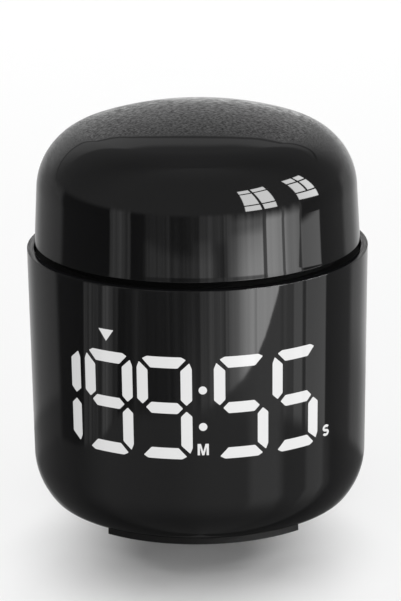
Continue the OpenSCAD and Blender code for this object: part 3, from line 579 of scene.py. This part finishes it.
def timer_shell():
    """The body: one polished cup with a rounded rim, a seat for the deck and an opening for the foot."""
    blank = shell_blank()
    cutter = foot_cutter()
    opening = blank.modifiers.new("foot_opening", "BOOLEAN")
    opening.operation = "DIFFERENCE"
    opening.solver = "EXACT"
    opening.object = cutter
    cut = blank.evaluated_get(bpy.context.evaluated_depsgraph_get())
    bm = bmesh.new()
    bm.from_mesh(cut.data)
    bpy.data.objects.remove(blank)
    bpy.data.objects.remove(cutter)
    for y in (BOSS_Y, -BOSS_Y):
        for x in (BOSS_X, -BOSS_X):
            sleeve(bm, BOSS_R, BASE_GAP + WALL - BOSS_SINK, FLANGE_Z, (x, y))
    return finish_piece(bm, "timer_shell", "timer_body", GLOSS_BLACK,
                        stands_for=["body_shell"])


def snap_dome():
    """The press switch's spring dome, in its resting shape; nothing here flattens it as the knob goes in."""
    bend = (SNAP_R ** 2 + SNAP_H ** 2) / (2 * SNAP_H)
    middle = SNAP_Z + SNAP_H - bend
    outer = math.asin((SNAP_Z - middle) / bend)
    inner = math.asin((SNAP_Z - middle) / (bend - SNAP_T))
    outline = arc((0, middle), bend, math.pi / 2, outer, steps=8)
    outline += arc((0, middle), bend - SNAP_T, inner, math.pi / 2, steps=8)
    bm = bmesh.new()
    spin_outline(bm, outline, SNAP_STEPS)
    piece = finish_piece(bm, "snap_dome", "timer_body", FINISHES["steel"],
                         stands_for=["switch_dome"])
    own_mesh(piece)
    return piece


# Lit figures, drawn where they are seen, in the skin of the shell: outlines of places across and up
DIGIT_ANGLES = {"one": -53.45, "nine_left": -32.6, "nine_right": -12.75, "five_left": 12.6,
                "five_right": 32.4}
DIGIT_LOW = 18.15
DIGIT_HIGH = 37.85
MIDDLE = (DIGIT_LOW + DIGIT_HIGH) / 2
SEGMENTS = {
    "a": [(-3.19, 37.85), (3.19, 37.85), (4.07, 37.35), (2.53, 35.70), (-2.53, 35.70), (-4.07, 37.35)],
    "b": [(5.14, 29.53), (4.09, 28.56), (3.06, 29.62), (3.06, 35.20), (4.69, 36.74), (5.14, 35.60)],
    "g": [(3.46, 28.0), (2.43, 29.06), (-2.43, 29.06), (-3.46, 28.0), (-2.43, 26.94), (2.43, 26.94)],
}
SEGMENTS["d"] = [(u, 2 * MIDDLE - z) for u, z in SEGMENTS["a"]]
SEGMENTS["c"] = [(u, 2 * MIDDLE - z) for u, z in SEGMENTS["b"]]
SEGMENTS["f"] = [(-u, z) for u, z in SEGMENTS["b"]]
# Two segments are a little wider: the last digit's lower right one and the first 9's upper left one
SEGMENTS["C"] = [(5.14, 26.47), (3.97, 27.44), (2.78, 26.38), (2.78, 20.8), (4.69, 19.26), (5.14, 20.4)]
SEGMENTS["F"] = [(-5.14, 29.53), (-3.95, 28.5), (-2.72, 29.62), (-2.72, 34.9), (-4.69, 36.74), (-5.14, 35.6)]
# The 1 is a little wider and lower than the other digits' right side
ONE_INNER = 3.06
ONE_WIDER = 1.125
ONE_LOWER = 0.13
for wide, plain in (("I", "b"), ("i", "c")):
    SEGMENTS[wide] = [(ONE_INNER + ONE_WIDER * (u - ONE_INNER), z - ONE_LOWER) for u, z in SEGMENTS[plain]]
LIT = {"one": "Ii", "nine_left": "abcdFg", "nine_right": "abcdfg", "five_left": "acdfg",
       "five_right": "aCdfg"}
SEGMENT_ROUND = 0.16

COLON_ANGLE = -0.15
COLON_HEIGHTS = (24.47, 31.53)
COLON_R = 0.77
COLON_STEPS = 32

POINTER = [(0, 39.75), (1.6, 41.98), (-1.6, 41.98)]
POINTER_ANGLE = DIGIT_ANGLES["nine_left"] - 0.2
POINTER_ROUND = 0.08

# The letter for minutes: two legs and a deep notch, from its lower left corner
MINUTES_MARK = [(-1.03, 18.97), (-0.6, 18.97), (-0.6, 20.55), (-0.2, 18.97), (0.2, 18.97), (0.6, 20.55),
                (0.6, 18.97), (1.03, 18.97), (1.03, 21.17), (0.42, 21.17), (0, 19.65), (-0.42, 21.17),
                (-1.03, 21.17)]
MINUTES_ANGLE = -0.2
MINUTES_ROUND = 0.03

# The letter for seconds: one even stroke along two half rings
SECONDS_ANGLE = 45.7
SECONDS_WIDTH = 1.75
SECONDS_LOW = 18.82
SECONDS_HIGH = 21.08
SECONDS_STROKE = 0.5
SECONDS_START = 22
SECONDS_SWEEP = 206
SECONDS_STEPS = 32

# How a figure lies in the skin
SKIN_R = side_r(MIDDLE)
PROUD = 0.02
SUNK = 0.06
BEND_STEP = 0.7


def bend_on(bm, flat, angle):
    """Takes a flat mesh, across in X and up in Z, in millimetres, and lays it in the skin at an angle."""
    low = min(v.co.x for v in flat.verts)
    high = max(v.co.x for v in flat.verts)
    steps = int((high - low) / BEND_STEP)
    for i in range(1, steps + 1):
        bmesh.ops.bisect_plane(flat, geom=flat.verts[:] + flat.edges[:] + flat.faces[:],
                               plane_co=(low + (high - low) * i / (steps + 1), 0, 0), plane_no=(1, 0, 0))
    bmesh.ops.recalc_face_normals(flat, faces=flat.faces)
    raised = bmesh.ops.extrude_face_region(flat, geom=flat.faces[:])
    lifted = {v for v in raised["geom"] if isinstance(v, bmesh.types.BMVert)}
    for v in flat.verts:
        r = side_r(v.co.z) + (PROUD if v in lifted else -SUNK)
        turn_by = math.radians(angle) + v.co.x / SKIN_R
        v.co = Vector((r * math.sin(turn_by), -r * math.cos(turn_by), v.co.z)) * MM
    bmesh.ops.recalc_face_normals(flat, faces=flat.faces)
    mesh = bpy.data.meshes.new("laid_figure")
    flat.to_mesh(mesh)
    flat.free()
    bm.from_mesh(mesh)
    bpy.data.meshes.remove(mesh)


def flat_figure(corners, soften):
    """A flat face with rounded corners."""
    flat = bmesh.new()
    flat.faces.new([flat.verts.new((u, 0, z)) for u, z in corners])
    bmesh.ops.bevel(flat, geom=flat.verts[:], offset=soften, offset_type="OFFSET", affect="VERTICES",
                    segments=3, profile=0.5, material=-1)
    return flat


def flat_disc(radius, z):
    flat = bmesh.new()
    bmesh.ops.create_circle(flat, cap_ends=True, segments=COLON_STEPS, radius=radius)
    bmesh.ops.rotate(flat, verts=flat.verts, matrix=Matrix.Rotation(math.pi / 2, 3, "X"))
    bmesh.ops.translate(flat, verts=flat.verts, vec=(0, 0, z))
    return flat


def flat_seconds_mark():
    """The letter for seconds, flat, as one face along its stroke."""
    half_width = (SECONDS_WIDTH - SECONDS_STROKE) / 2
    ring_height = (SECONDS_HIGH - SECONDS_LOW - SECONDS_STROKE) / 4
    middle = (SECONDS_LOW + SECONDS_HIGH) / 2
    path = []
    for i in range(SECONDS_STEPS + 1):
        angle = math.radians(SECONDS_START + SECONDS_SWEEP * i / SECONDS_STEPS)
        up = middle + ring_height + ring_height * math.sin(angle)
        path.append(Vector((half_width * math.cos(angle), up)))
    path += [Vector((-p.x, 2 * middle - p.y)) for p in reversed(path)]
    sides = ([], [])
    for i, p in enumerate(path):
        along = (path[min(i + 1, len(path) - 1)] - path[max(i - 1, 0)]).normalized()
        out = Vector((-along.y, along.x)) * SECONDS_STROKE / 2
        sides[0].append(p + out)
        sides[1].append(p - out)
    flat = bmesh.new()
    flat.faces.new([flat.verts.new((p.x, 0, p.y)) for p in sides[0] + sides[1][::-1]])
    return flat


def lit_figures():
    """The lit numbers, colon, pointer mark and unit letters, as one thin piece in the skin."""
    bm = bmesh.new()
    for digit, names in LIT.items():
        for name in names:
            bend_on(bm, flat_figure(SEGMENTS[name], SEGMENT_ROUND), DIGIT_ANGLES[digit])
    for z in COLON_HEIGHTS:
        bend_on(bm, flat_disc(COLON_R, z), COLON_ANGLE)
    bend_on(bm, flat_figure(POINTER, POINTER_ROUND), POINTER_ANGLE)
    bend_on(bm, flat_figure(MINUTES_MARK, MINUTES_ROUND), MINUTES_ANGLE)
    bend_on(bm, flat_seconds_mark(), SECONDS_ANGLE)
    return finish_piece(bm, "lit_figures", "timer_body", LIT_WHITE)


for piece in (knob_cap(), timer_shell(), snap_dome()):
    piece.visible_shadow = False
    piece.visible_diffuse = False
lit_figures()

# Floor, in metres, just under the foot
FLOOR_HALF = 4
FLOOR_CELLS = 8
FLOOR_Z = -0.00005
FLOOR_PALE = 0.88
FLOOR_ROUGH = 0.9


def pale_floor():
    """A plain matt floor, clear from below so that the underside can be looked at."""
    bm = bmesh.new()
    bmesh.ops.create_grid(bm, x_segments=FLOOR_CELLS, y_segments=FLOOR_CELLS, size=FLOOR_HALF)
    bmesh.ops.translate(bm, verts=bm.verts, vec=(0, 0, FLOOR_Z))
    floor = mesh_object(bm, "pale_floor")
    material, tree, surface = new_material("pale_floor")
    surface.inputs["Base Color"].default_value = grey(FLOOR_PALE)
    surface.inputs["Roughness"].default_value = FLOOR_ROUGH
    surface.inputs["Specular IOR Level"].default_value = 0.0
    side = tree.nodes.new("ShaderNodeNewGeometry")
    clear = tree.nodes.new("ShaderNodeBsdfTransparent")
    either = tree.nodes.new("ShaderNodeMixShader")
    tree.links.new(side.outputs["Backfacing"], either.inputs["Fac"])
    tree.links.new(surface.outputs["BSDF"], either.inputs[1])
    tree.links.new(clear.outputs["BSDF"], either.inputs[2])
    tree.links.new(either.outputs["Shader"], tree.nodes["Material Output"].inputs["Surface"])
    floor.data.materials.append(material)
    floor.visible_glossy = False


# Set that polished surfaces mirror: degrees of turn to the right of the front, and of rise above level
DEGREES = 180 / math.pi
SEEN_WHITE = 0.77
FILL_WHITE = 0.18
BAR_SOFT = 0.5
KNOB_RISE = (-16, -13)
UPPER_RISE = (2, 10)

# Cover overhead: strength, and what its front and its top add
COVER = 0.27
COVER_FRONT = (115, 60)
COVER_FRONT_ADDS = 0.17
COVER_TOP = (60, 85)
COVER_TOP_ADDS = 0.07

# Back panel: a dark line and a top edge, as places across and heights, both from -1 to 1
BACK_LINE = [(-1, 0.03), (-0.915, 0.056), (-0.811, 0.13), (-0.701, 0.25), (-0.552, 0.375),
             (-0.421, 0.437), (-0.3, 0.468), (-0.205, 0.52), (-0.147, 0.595), (-0.059, 0.655),
             (0.039, 0.672), (0.137, 0.65), (0.197, 0.618), (0.28, 0.592), (0.406, 0.582),
             (0.565, 0.54), (1, 0.42)]
BACK_TOP = [(-1, 0.2), (-0.744, 0.405), (-0.632, 0.505), (-0.456, 0.612), (-0.265, 0.668),
            (-0.153, 0.703), (-0.06, 0.74), (0.04, 0.752), (0.143, 0.722), (0.24, 0.69),
            (0.36, 0.662), (0.5, 0.62), (0.65, 0.565), (1, 0.47)]
BACK_AWAY = (122, 152)
BACK_LIGHT = 0.37
BACK_TOP_FADE = (0.014, -0.028)
BACK_UPPER = 0.74
BACK_LOWER_ADDS = 0.26
BACK_LOWER_FADE = (0.02, -0.005)
BACK_SMOOTH = (-0.05, 0.02)
LINE_AWAY = (120, 135)
LINE_BAND = (-0.006, 0.014, 0.007)
LINE_DARK = 0.55
SPECKLE_SCALE = 150.0
SPECKLE_DETAIL = 1
SPECKLE_GAIN = 6.6
SPECKLE_LESS = 2.3
SPECKLE_LEAST = 0.05

# Two lit panels: edges, softness of the sides and ends, strength, and bars as middle and half width
PANEL_SIDE_SOFT = 0.4
PANEL_END_SOFT = 0.5
NEAR_TURN = (33, 57.3)
NEAR_RISE = (8.5, 41)
NEAR_LIGHT = 16.5
NEAR_LEAN = 0.08
NEAR_UPRIGHT = (47.0, 0.8)
NEAR_CROSSBARS = [(35.6, 0.5), (17.0, 0.6)]
FAR_TURN = (76.5, 95)
FAR_RISE = (9.5, 39.5)
FAR_LIGHT = 15.5
FAR_SLANT = 0.2
FAR_SLANT_FROM = 76.0
FAR_UPRIGHT = (87.0, 0.7)
FAR_UPRIGHT_ENDS = (18.9, 18.1)
FAR_CROSSBARS = [(18.5, 0.6), (33.0, 0.6)]

# Strips under the panels, as left edge, right edge, softness and strength
STRIP_LEAST = 0.098
KNOB_STRIPS = [(-64.5, -49, 1.5, 0.62), (-38, -20, 2.0, 0.2)]
BODY_STRIPS = [(8, 22, 6.0, 0.35), (-46.5, -38, 2.5, 0.12), (-56, 0, 4.0, 0.07)]
FOLDED_STRIPS = [(-84, -60, 1.2, 0.42), (-67.5, -62.5, 1.5, 0.5), (-61, -56, 1.0, 0.24)]
RIGHT_STRIPS = [(58, 66, 1.5, 0.62), (66, 73, 1.0, 1.3)]
# Strips along the knob's lower edge, with the rises between which each comes in
KNOB_EDGE_STRIPS = [((-38, 12, 3.0, 0.3), (-9.4, -9.75)), ((-4, 8, 2.0, 0.3), (-9.15, -9.4)),
                    ((11, 19, 2.0, -0.25), (-9.2, -9.5))]
# Folds of the left strips, which lean as they go down the body
BODY_TOP_RISE = -17.5
FOLD_LEAN = -1.2
FOLD_LEANS_AT = (-20, -45)
FOLD_SCALE = 0.22
FOLD_DETAIL = 4
FOLD_FADE = (0.3, 0.7)
FOLD_LEAST = 0.55
FOLD_ADDS = 0.9
BROAD_FADE = (-55, -10)
BROAD_LIGHT = 0.10
INNER_LEAN = -3.0
INNER_FADE = (-12, 14)
INNER_LIGHT = 0.62

# Glare, with a shaded corner, two seams on the knob, a pleat on the body and a curved right edge
GLARE_TURN = (16, 38)
GLARE_RISE = (6, -11)
GLARE_LIGHT = 5.4
GLARE_DIMS_AT = (52, 72)
GLARE_DIMS_BY = 3.0
CORNER_RISE = (-10.3, -8.6)
CORNER_TURN = (47.0, 45.8)
CORNER_DARK = 0.7
SEAMS = [(46.4, 1.1), (61.0, 0.8)]
SEAM_DARK = 0.86
PLEAT = (37.5, 0.6)
PLEAT_DARK = 0.2
GLARE_EDGE_RISE = -17.7
GLARE_EDGE_TURN = 54.0
GLARE_EDGE_ABOVE = 2.9
GLARE_EDGE_BELOW = 10.0
GLARE_EDGE_CURVE = 0.66
GLARE_EDGE_MOST = 75.0
GLARE_EDGE_SOFT = 0.6

# Right strips beyond the glare
RIGHT_LEAST = 0.15
RIGHT_BROAD = (-20, 58, 4.0)
RIGHT_BROAD_LIGHT = 0.32
RIGHT_BROAD_GROWS = (12, 44)
RIGHT_BROAD_ADDS = 0.45
RIGHT_SLIM = (72.5, 77, 0.8)
RIGHT_SLIM_LIGHT = 0.3
RIGHT_SLIM_KNOB = 0.2
RIGHT_FAR = (76.2, 94.5, 0.9)
RIGHT_FAR_BODY = 1.1
RIGHT_FAR_KNOB = 1.85
RIGHT_FAR_KNOB_RISE = (-9.7, -10.4)

# Light at the two outer edges: turns with strengths, the rise where it dims, and what is left there
LEFT_RIM = [((108, 115), 0.3), ((140, 165), 0.25)]
LEFT_RIM_RISE = (-19.5, -19.1)
LEFT_RIM_LEAST = 0.5
RIGHT_RIM = [((121, 129), 0.32), ((138, 156), 0.3)]
RIGHT_RIM_RISE = (-18.8, -17.4)
RIGHT_RIM_LEAST = 0.62
RIM_SPECKLE_RISE = (-7, -3)

# Low board all round: its edge, which is moved a little on the left, and its lighter parts
BOARD_EDGE = (-20.0, -20.4)
BOARD_LEFT = ((50, 58), (125, 115))
BOARD_LEFT_EDGE = (-19.98, -20.12)
BOARD_DIP = ((52, 76), (122, 90))
BOARD_DIP_BY = 0.45
BOARD = 0.19
BOARD_FRONT = ((-98, -62), (104, 94))
BOARD_FRONT_ADDS = 0.24
BOARD_RIGHT = ((-25, 10), (62, 56))
BOARD_RIGHT_ADDS = 0.11
BOARD_STRIPS = [(33, 56, 4.0, 0.38), (77, 93, 2.5, 0.36)]
BOARD_STRIPS_RISE = (-48, -21)
BOARD_BACK = (150, 172)
BOARD_BACK_ADDS = 0.3
BOARD_NEAR = 0.55
BOARD_FAR_ADDS = 0.5
BOARD_FAR_RISE = (-60, -21)


class Term:
    """A value that varies over the set. Terms add and multiply as plain numbers do."""

    def __init__(self, tree, socket):
        self.tree = tree
        self.socket = socket

    def maths(self, operation, *others):
        node = self.tree.nodes.new("ShaderNodeMath")
        node.operation = operation
        for entry, term in zip(node.inputs, (self, *others)):
            if isinstance(term, Term):
                self.tree.links.new(term.socket, entry)
            else:
                entry.default_value = term
        return Term(self.tree, node.outputs[0])

    def __add__(self, other):
        return self.maths("ADD", other)

    def __sub__(self, other):
        return self.maths("SUBTRACT", other)

    def __mul__(self, other):
        return self.maths("MULTIPLY", other)

    def __rsub__(self, other):
        return self.maths("MULTIPLY_ADD", -1.0, other)

    __radd__ = __add__
    __rmul__ = __mul__

    def ramp(self, low, high):
        """0 below low, 1 above high, smooth between them; falling where low is above high."""
        node = self.tree.nodes.new("ShaderNodeMapRange")
        node.interpolation_type = "SMOOTHSTEP"
        self.tree.links.new(self.socket, node.inputs["Value"])
        falls = low > high
        node.inputs["From Min"].default_value = min(low, high)
        node.inputs["From Max"].default_value = max(low, high)
        node.inputs["To Min"].default_value = 1 if falls else 0
        node.inputs["To Max"].default_value = 0 if falls else 1
        return Term(self.tree, node.outputs["Result"])

    def band(self, low, high, soft):
        """1 between low and high, 0 outside them."""
        return self.ramp(low - soft, low + soft) * self.ramp(high + soft, high - soft)

    def strips(self, rows):
        """The sum of some strips, each with its own strength."""
        return sum(self.band(low, high, soft) * strength for low, high, soft, strength in rows)

    def bar(self, middle, half):
        """1 on a thin bar, 0 away from it."""
        return (self - middle).maths("ABSOLUTE").ramp(half + BAR_SOFT, half)


class Direction:
    """Where a mirrored ray goes."""

    def __init__(self, tree):
        coords = tree.nodes.new("ShaderNodeTexCoord")
        split = tree.nodes.new("ShaderNodeSeparateXYZ")
        self.tree = tree
        self.vector = coords.outputs["Generated"]
        tree.links.new(self.vector, split.inputs["Vector"])
        self.across = Term(tree, split.outputs["X"])
        self.height = Term(tree, split.outputs["Z"])
        front = Term(tree, split.outputs["Y"]) * -1.0
        self.turn = self.across.maths("ARCTAN2", front) * DEGREES
        self.left_turn = self.turn * -1.0
        self.away = self.turn.maths("ABSOLUTE")
        self.rise = self.height.maths("ARCSINE") * DEGREES
        self.on_knob = self.rise.ramp(*KNOB_RISE)
        self.on_body = 1 - self.on_knob

    def over(self, points):
        """Height above a smooth line across the set."""
        node = self.tree.nodes.new("ShaderNodeFloatCurve")
        curve = node.mapping.curves[0]
        places = [((across + 1) / 2, height) for across, height in points]
        curve.points[0].location = places[0]
        curve.points[1].location = places[-1]
        for place in places[1:-1]:
            curve.points.new(*place)
        node.mapping.update()
        self.tree.links.new((self.across * 0.5 + 0.5).socket, node.inputs["Value"])
        return self.height - Term(self.tree, node.outputs["Value"])

    def speckle(self):
        """The light and dark grains of a rough surface."""
        noise = self.tree.nodes.new("ShaderNodeTexNoise")
        noise.inputs["Scale"].default_value = SPECKLE_SCALE
        noise.inputs["Detail"].default_value = SPECKLE_DETAIL
        self.tree.links.new(self.vector, noise.inputs["Vector"])
        grain = Term(self.tree, noise.outputs["Fac"]) * SPECKLE_GAIN - SPECKLE_LESS
        return grain.maths("MAXIMUM", SPECKLE_LEAST)

    def folds(self, place):
        """Upright folds of uneven width, from a place across."""
        noise = self.tree.nodes.new("ShaderNodeTexNoise")
        noise.noise_dimensions = "1D"
        noise.inputs["Scale"].default_value = FOLD_SCALE
        noise.inputs["Detail"].default_value = FOLD_DETAIL
        self.tree.links.new(place.socket, noise.inputs["W"])
        return FOLD_LEAST + FOLD_ADDS * Term(self.tree, noise.outputs["Fac"]).ramp(*FOLD_FADE)


def both(term, ramps):
    """1 where a rising and a falling ramp both hold."""
    return term.ramp(*ramps[0]) * term.ramp(*ramps[1])


def cover_and_back(way, speckle):
    """A dim cover, with a rough panel behind that has a dark line near its top."""
    over_line = way.over(BACK_LINE)
    over_top = way.over(BACK_TOP)
    cover = (COVER + COVER_FRONT_ADDS * way.away.ramp(*COVER_FRONT)
             + COVER_TOP_ADDS * way.rise.ramp(*COVER_TOP))
    smooth = over_line.ramp(*BACK_SMOOTH)
    light = BACK_UPPER + BACK_LOWER_ADDS * over_line.ramp(*BACK_LOWER_FADE)
    panel = over_top.ramp(*BACK_TOP_FADE) * light * (speckle * (1 - smooth) + smooth)
    line = over_line.band(*LINE_BAND) * way.away.ramp(*LINE_AWAY)
    return (cover + BACK_LIGHT * way.away.ramp(*BACK_AWAY) * panel) * (1 - LINE_DARK * line)


def clear_of_bars(panel, upright, rises, crossbars):
    """Takes the upright bar's mask and the crossbars out of a panel."""
    panel = panel * upright
    for middle, half in crossbars:
        panel = panel * (1 - rises.bar(middle, half))
    return panel


def lit_panels(way):
    """Two panels with dark bars, to the right and above."""
    near = way.turn.band(*NEAR_TURN, PANEL_SIDE_SOFT) * way.rise.band(*NEAR_RISE, PANEL_END_SOFT)
    near_upright = 1 - (way.turn + NEAR_LEAN * way.rise).bar(*NEAR_UPRIGHT)
    near = clear_of_bars(near, near_upright, way.rise, NEAR_CROSSBARS)
    slant = way.rise + FAR_SLANT * (way.turn - FAR_SLANT_FROM)
    far = way.turn.band(*FAR_TURN, PANEL_SIDE_SOFT) * slant.band(*FAR_RISE, PANEL_END_SOFT)
    far_upright = (1 - way.turn.bar(*FAR_UPRIGHT)).maths("MAXIMUM", slant.ramp(*FAR_UPRIGHT_ENDS))
    far = clear_of_bars(far, far_upright, slant, FAR_CROSSBARS)
    return NEAR_LIGHT * near + FAR_LIGHT * far


def left_strips(way):
    """Folded strips from the far left up to the glare."""
    down = (way.rise - BODY_TOP_RISE) * way.on_body
    folded = way.turn + FOLD_LEAN * down * way.turn.ramp(*FOLD_LEANS_AT)
    inner = way.turn + INNER_LEAN * down
    light = BROAD_LIGHT * way.turn.ramp(*BROAD_FADE) + INNER_LIGHT * inner.ramp(*INNER_FADE)
    on_knob = way.turn.strips(KNOB_STRIPS)
    for row, rises in KNOB_EDGE_STRIPS:
        on_knob = on_knob + way.turn.strips([row]) * way.rise.ramp(*rises)
    on_body = way.turn.strips(BODY_STRIPS) + folded.strips(FOLDED_STRIPS)
    return way.folds(folded) * (light + on_knob * way.on_knob + on_body * way.on_body)


def glare(way):
    """The brightest stretch, to the right of the middle."""
    light = GLARE_LIGHT - GLARE_DIMS_BY * way.turn.ramp(*GLARE_DIMS_AT)
    light = light * way.turn.ramp(*GLARE_TURN) * way.rise.ramp(*GLARE_RISE)
    corner = way.rise.ramp(*CORNER_RISE) * way.turn.ramp(*CORNER_TURN)
    seams = sum(way.turn.bar(*seam) for seam in SEAMS) * way.on_knob
    pleat = way.turn.bar(*PLEAT) * way.on_body
    return light * (1 - CORNER_DARK * corner) * (1 - SEAM_DARK * seams) * (1 - PLEAT_DARK * pleat)


def beyond_glare(way):
    """1 to the right of the glare's curved edge, 0 to the left of it."""
    rise = way.rise - GLARE_EDGE_RISE
    above = rise.maths("MAXIMUM", 0.0)
    below = rise.maths("MINIMUM", 0.0)
    square = below * below
    edge = (GLARE_EDGE_TURN + GLARE_EDGE_ABOVE * above + GLARE_EDGE_BELOW * below
            - GLARE_EDGE_CURVE * square * square)
    past = way.turn - edge.maths("MINIMUM", GLARE_EDGE_MOST)
    return past.ramp(-GLARE_EDGE_SOFT, GLARE_EDGE_SOFT)


def right_strips(way):
    """Strips to the right of the glare."""
    broad = RIGHT_BROAD_LIGHT + RIGHT_BROAD_ADDS * way.turn.ramp(*RIGHT_BROAD_GROWS)
    broad = way.turn.band(*RIGHT_BROAD) * broad
    slim = way.turn.band(*RIGHT_SLIM) * (RIGHT_SLIM_LIGHT + RIGHT_SLIM_KNOB * way.on_knob)
    far = RIGHT_FAR_BODY * way.on_body + RIGHT_FAR_KNOB * way.on_knob * way.rise.ramp(*RIGHT_FAR_KNOB_RISE)
    far = way.turn.band(*RIGHT_FAR) * far
    return RIGHT_LEAST + broad + way.turn.strips(RIGHT_STRIPS) + slim + far


def rim_light(way, speckle):
    """Light along the two outer edges, rough where it is high."""
    total = 0
    for turn, rows, rises, least in ((way.left_turn, LEFT_RIM, LEFT_RIM_RISE, LEFT_RIM_LEAST),
                                     (way.turn, RIGHT_RIM, RIGHT_RIM_RISE, RIGHT_RIM_LEAST)):
        light = sum(turn.ramp(*turns) * strength for turns, strength in rows)
        total = total + light * (least + (1 - least) * way.rise.ramp(*rises))
    return total * (1 + way.rise.ramp(*RIM_SPECKLE_RISE) * (speckle - 1.0))


def low_board(way):
    """A board all round, lower than the strips."""
    light = (BOARD + BOARD_FRONT_ADDS * both(way.turn, BOARD_FRONT)
             + BOARD_RIGHT_ADDS * both(way.turn, BOARD_RIGHT)
             + way.turn.strips(BOARD_STRIPS) * way.rise.ramp(*BOARD_STRIPS_RISE)
             + BOARD_BACK_ADDS * way.away.ramp(*BOARD_BACK))
    return light * (BOARD_NEAR + BOARD_FAR_ADDS * way.rise.ramp(*BOARD_FAR_RISE))


def on_board(way):
    """1 below the board's edge, 0 above it."""
    on_left = both(way.left_turn, BOARD_LEFT)
    dipped = way.rise + BOARD_DIP_BY * both(way.left_turn, BOARD_DIP)
    return way.rise.ramp(*BOARD_EDGE) * (1 - on_left) + dipped.ramp(*BOARD_LEFT_EDGE) * on_left


def mirrored_set(tree):
    """How bright the set is in every direction."""
    way = Direction(tree)
    speckle = way.speckle()
    beyond = beyond_glare(way)
    strips = STRIP_LEAST + (left_strips(way) + glare(way)) * (1 - beyond) + right_strips(way) * beyond
    strips = strips + rim_light(way, speckle)
    below = on_board(way)
    lower = strips * (1 - below) + low_board(way) * below
    upper = way.rise.ramp(*UPPER_RISE)
    return lower * (1 - upper) + cover_and_back(way, speckle) * upper + lit_panels(way)


def studio_world():
    """White all round for the eye and for fill, and for polished surfaces a dim set of panels and strips."""
    world = bpy.data.worlds.new("studio")
    scene.world = world
    world.use_nodes = True
    tree = world.node_tree
    tree.nodes.clear()
    link = tree.links.new
    mirror = tree.nodes.new("ShaderNodeBackground")
    link(mirrored_set(tree).socket, mirror.inputs["Strength"])
    white = tree.nodes.new("ShaderNodeBackground")
    white.inputs["Color"].default_value = grey(1)
    path = tree.nodes.new("ShaderNodeLightPath")
    seen = Term(tree, path.outputs["Is Camera Ray"])
    link((seen * SEEN_WHITE + FILL_WHITE).socket, white.inputs["Strength"])
    mix = tree.nodes.new("ShaderNodeMixShader")
    link(path.outputs["Is Glossy Ray"], mix.inputs["Fac"])
    link(white.outputs[0], mix.inputs[1])
    link(mirror.outputs[0], mix.inputs[2])
    out = tree.nodes.new("ShaderNodeOutputWorld")
    link(mix.outputs[0], out.inputs["Surface"])


# Lights
def add_light(name, data, towards, place=(0, 0, 0)):
    """Adds a light that shines back along a direction, and that polished surfaces don't mirror."""
    light = bpy.data.objects.new(name, data)
    aim = Vector(towards).to_track_quat("Z", "Y").to_matrix().to_4x4()
    light.matrix_world = Matrix.Translation(Vector(place)) @ aim
    light.visible_glossy = False
    scene.collection.objects.link(light)


def softbox(name, place, width, height, energy):
    """A soft light, aimed at the part."""
    data = bpy.data.lights.new(name, "AREA")
    data.shape = "RECTANGLE"
    data.size = width
    data.size_y = height
    data.energy = energy
    add_light(name, data, place, place)


def even_light(name, towards, spread, strength):
    """A broad, even light from one direction, for the whole floor."""
    data = bpy.data.lights.new(name, "SUN")
    data.angle = math.radians(spread)
    data.energy = strength
    add_light(name, data, towards)


pale_floor()
even_light("overhead_light", towards=(0.04, 0.6, 0.8), spread=30, strength=2.6)
softbox("back_softbox", place=(0.06, 0.83, 1.07), width=0.8, height=0.4, energy=4.5)
softbox("front_softbox", place=(0, -0.6, 1.1), width=0.5, height=0.5, energy=0.5)
studio_world()
scene.view_settings.view_transform = "Standard"
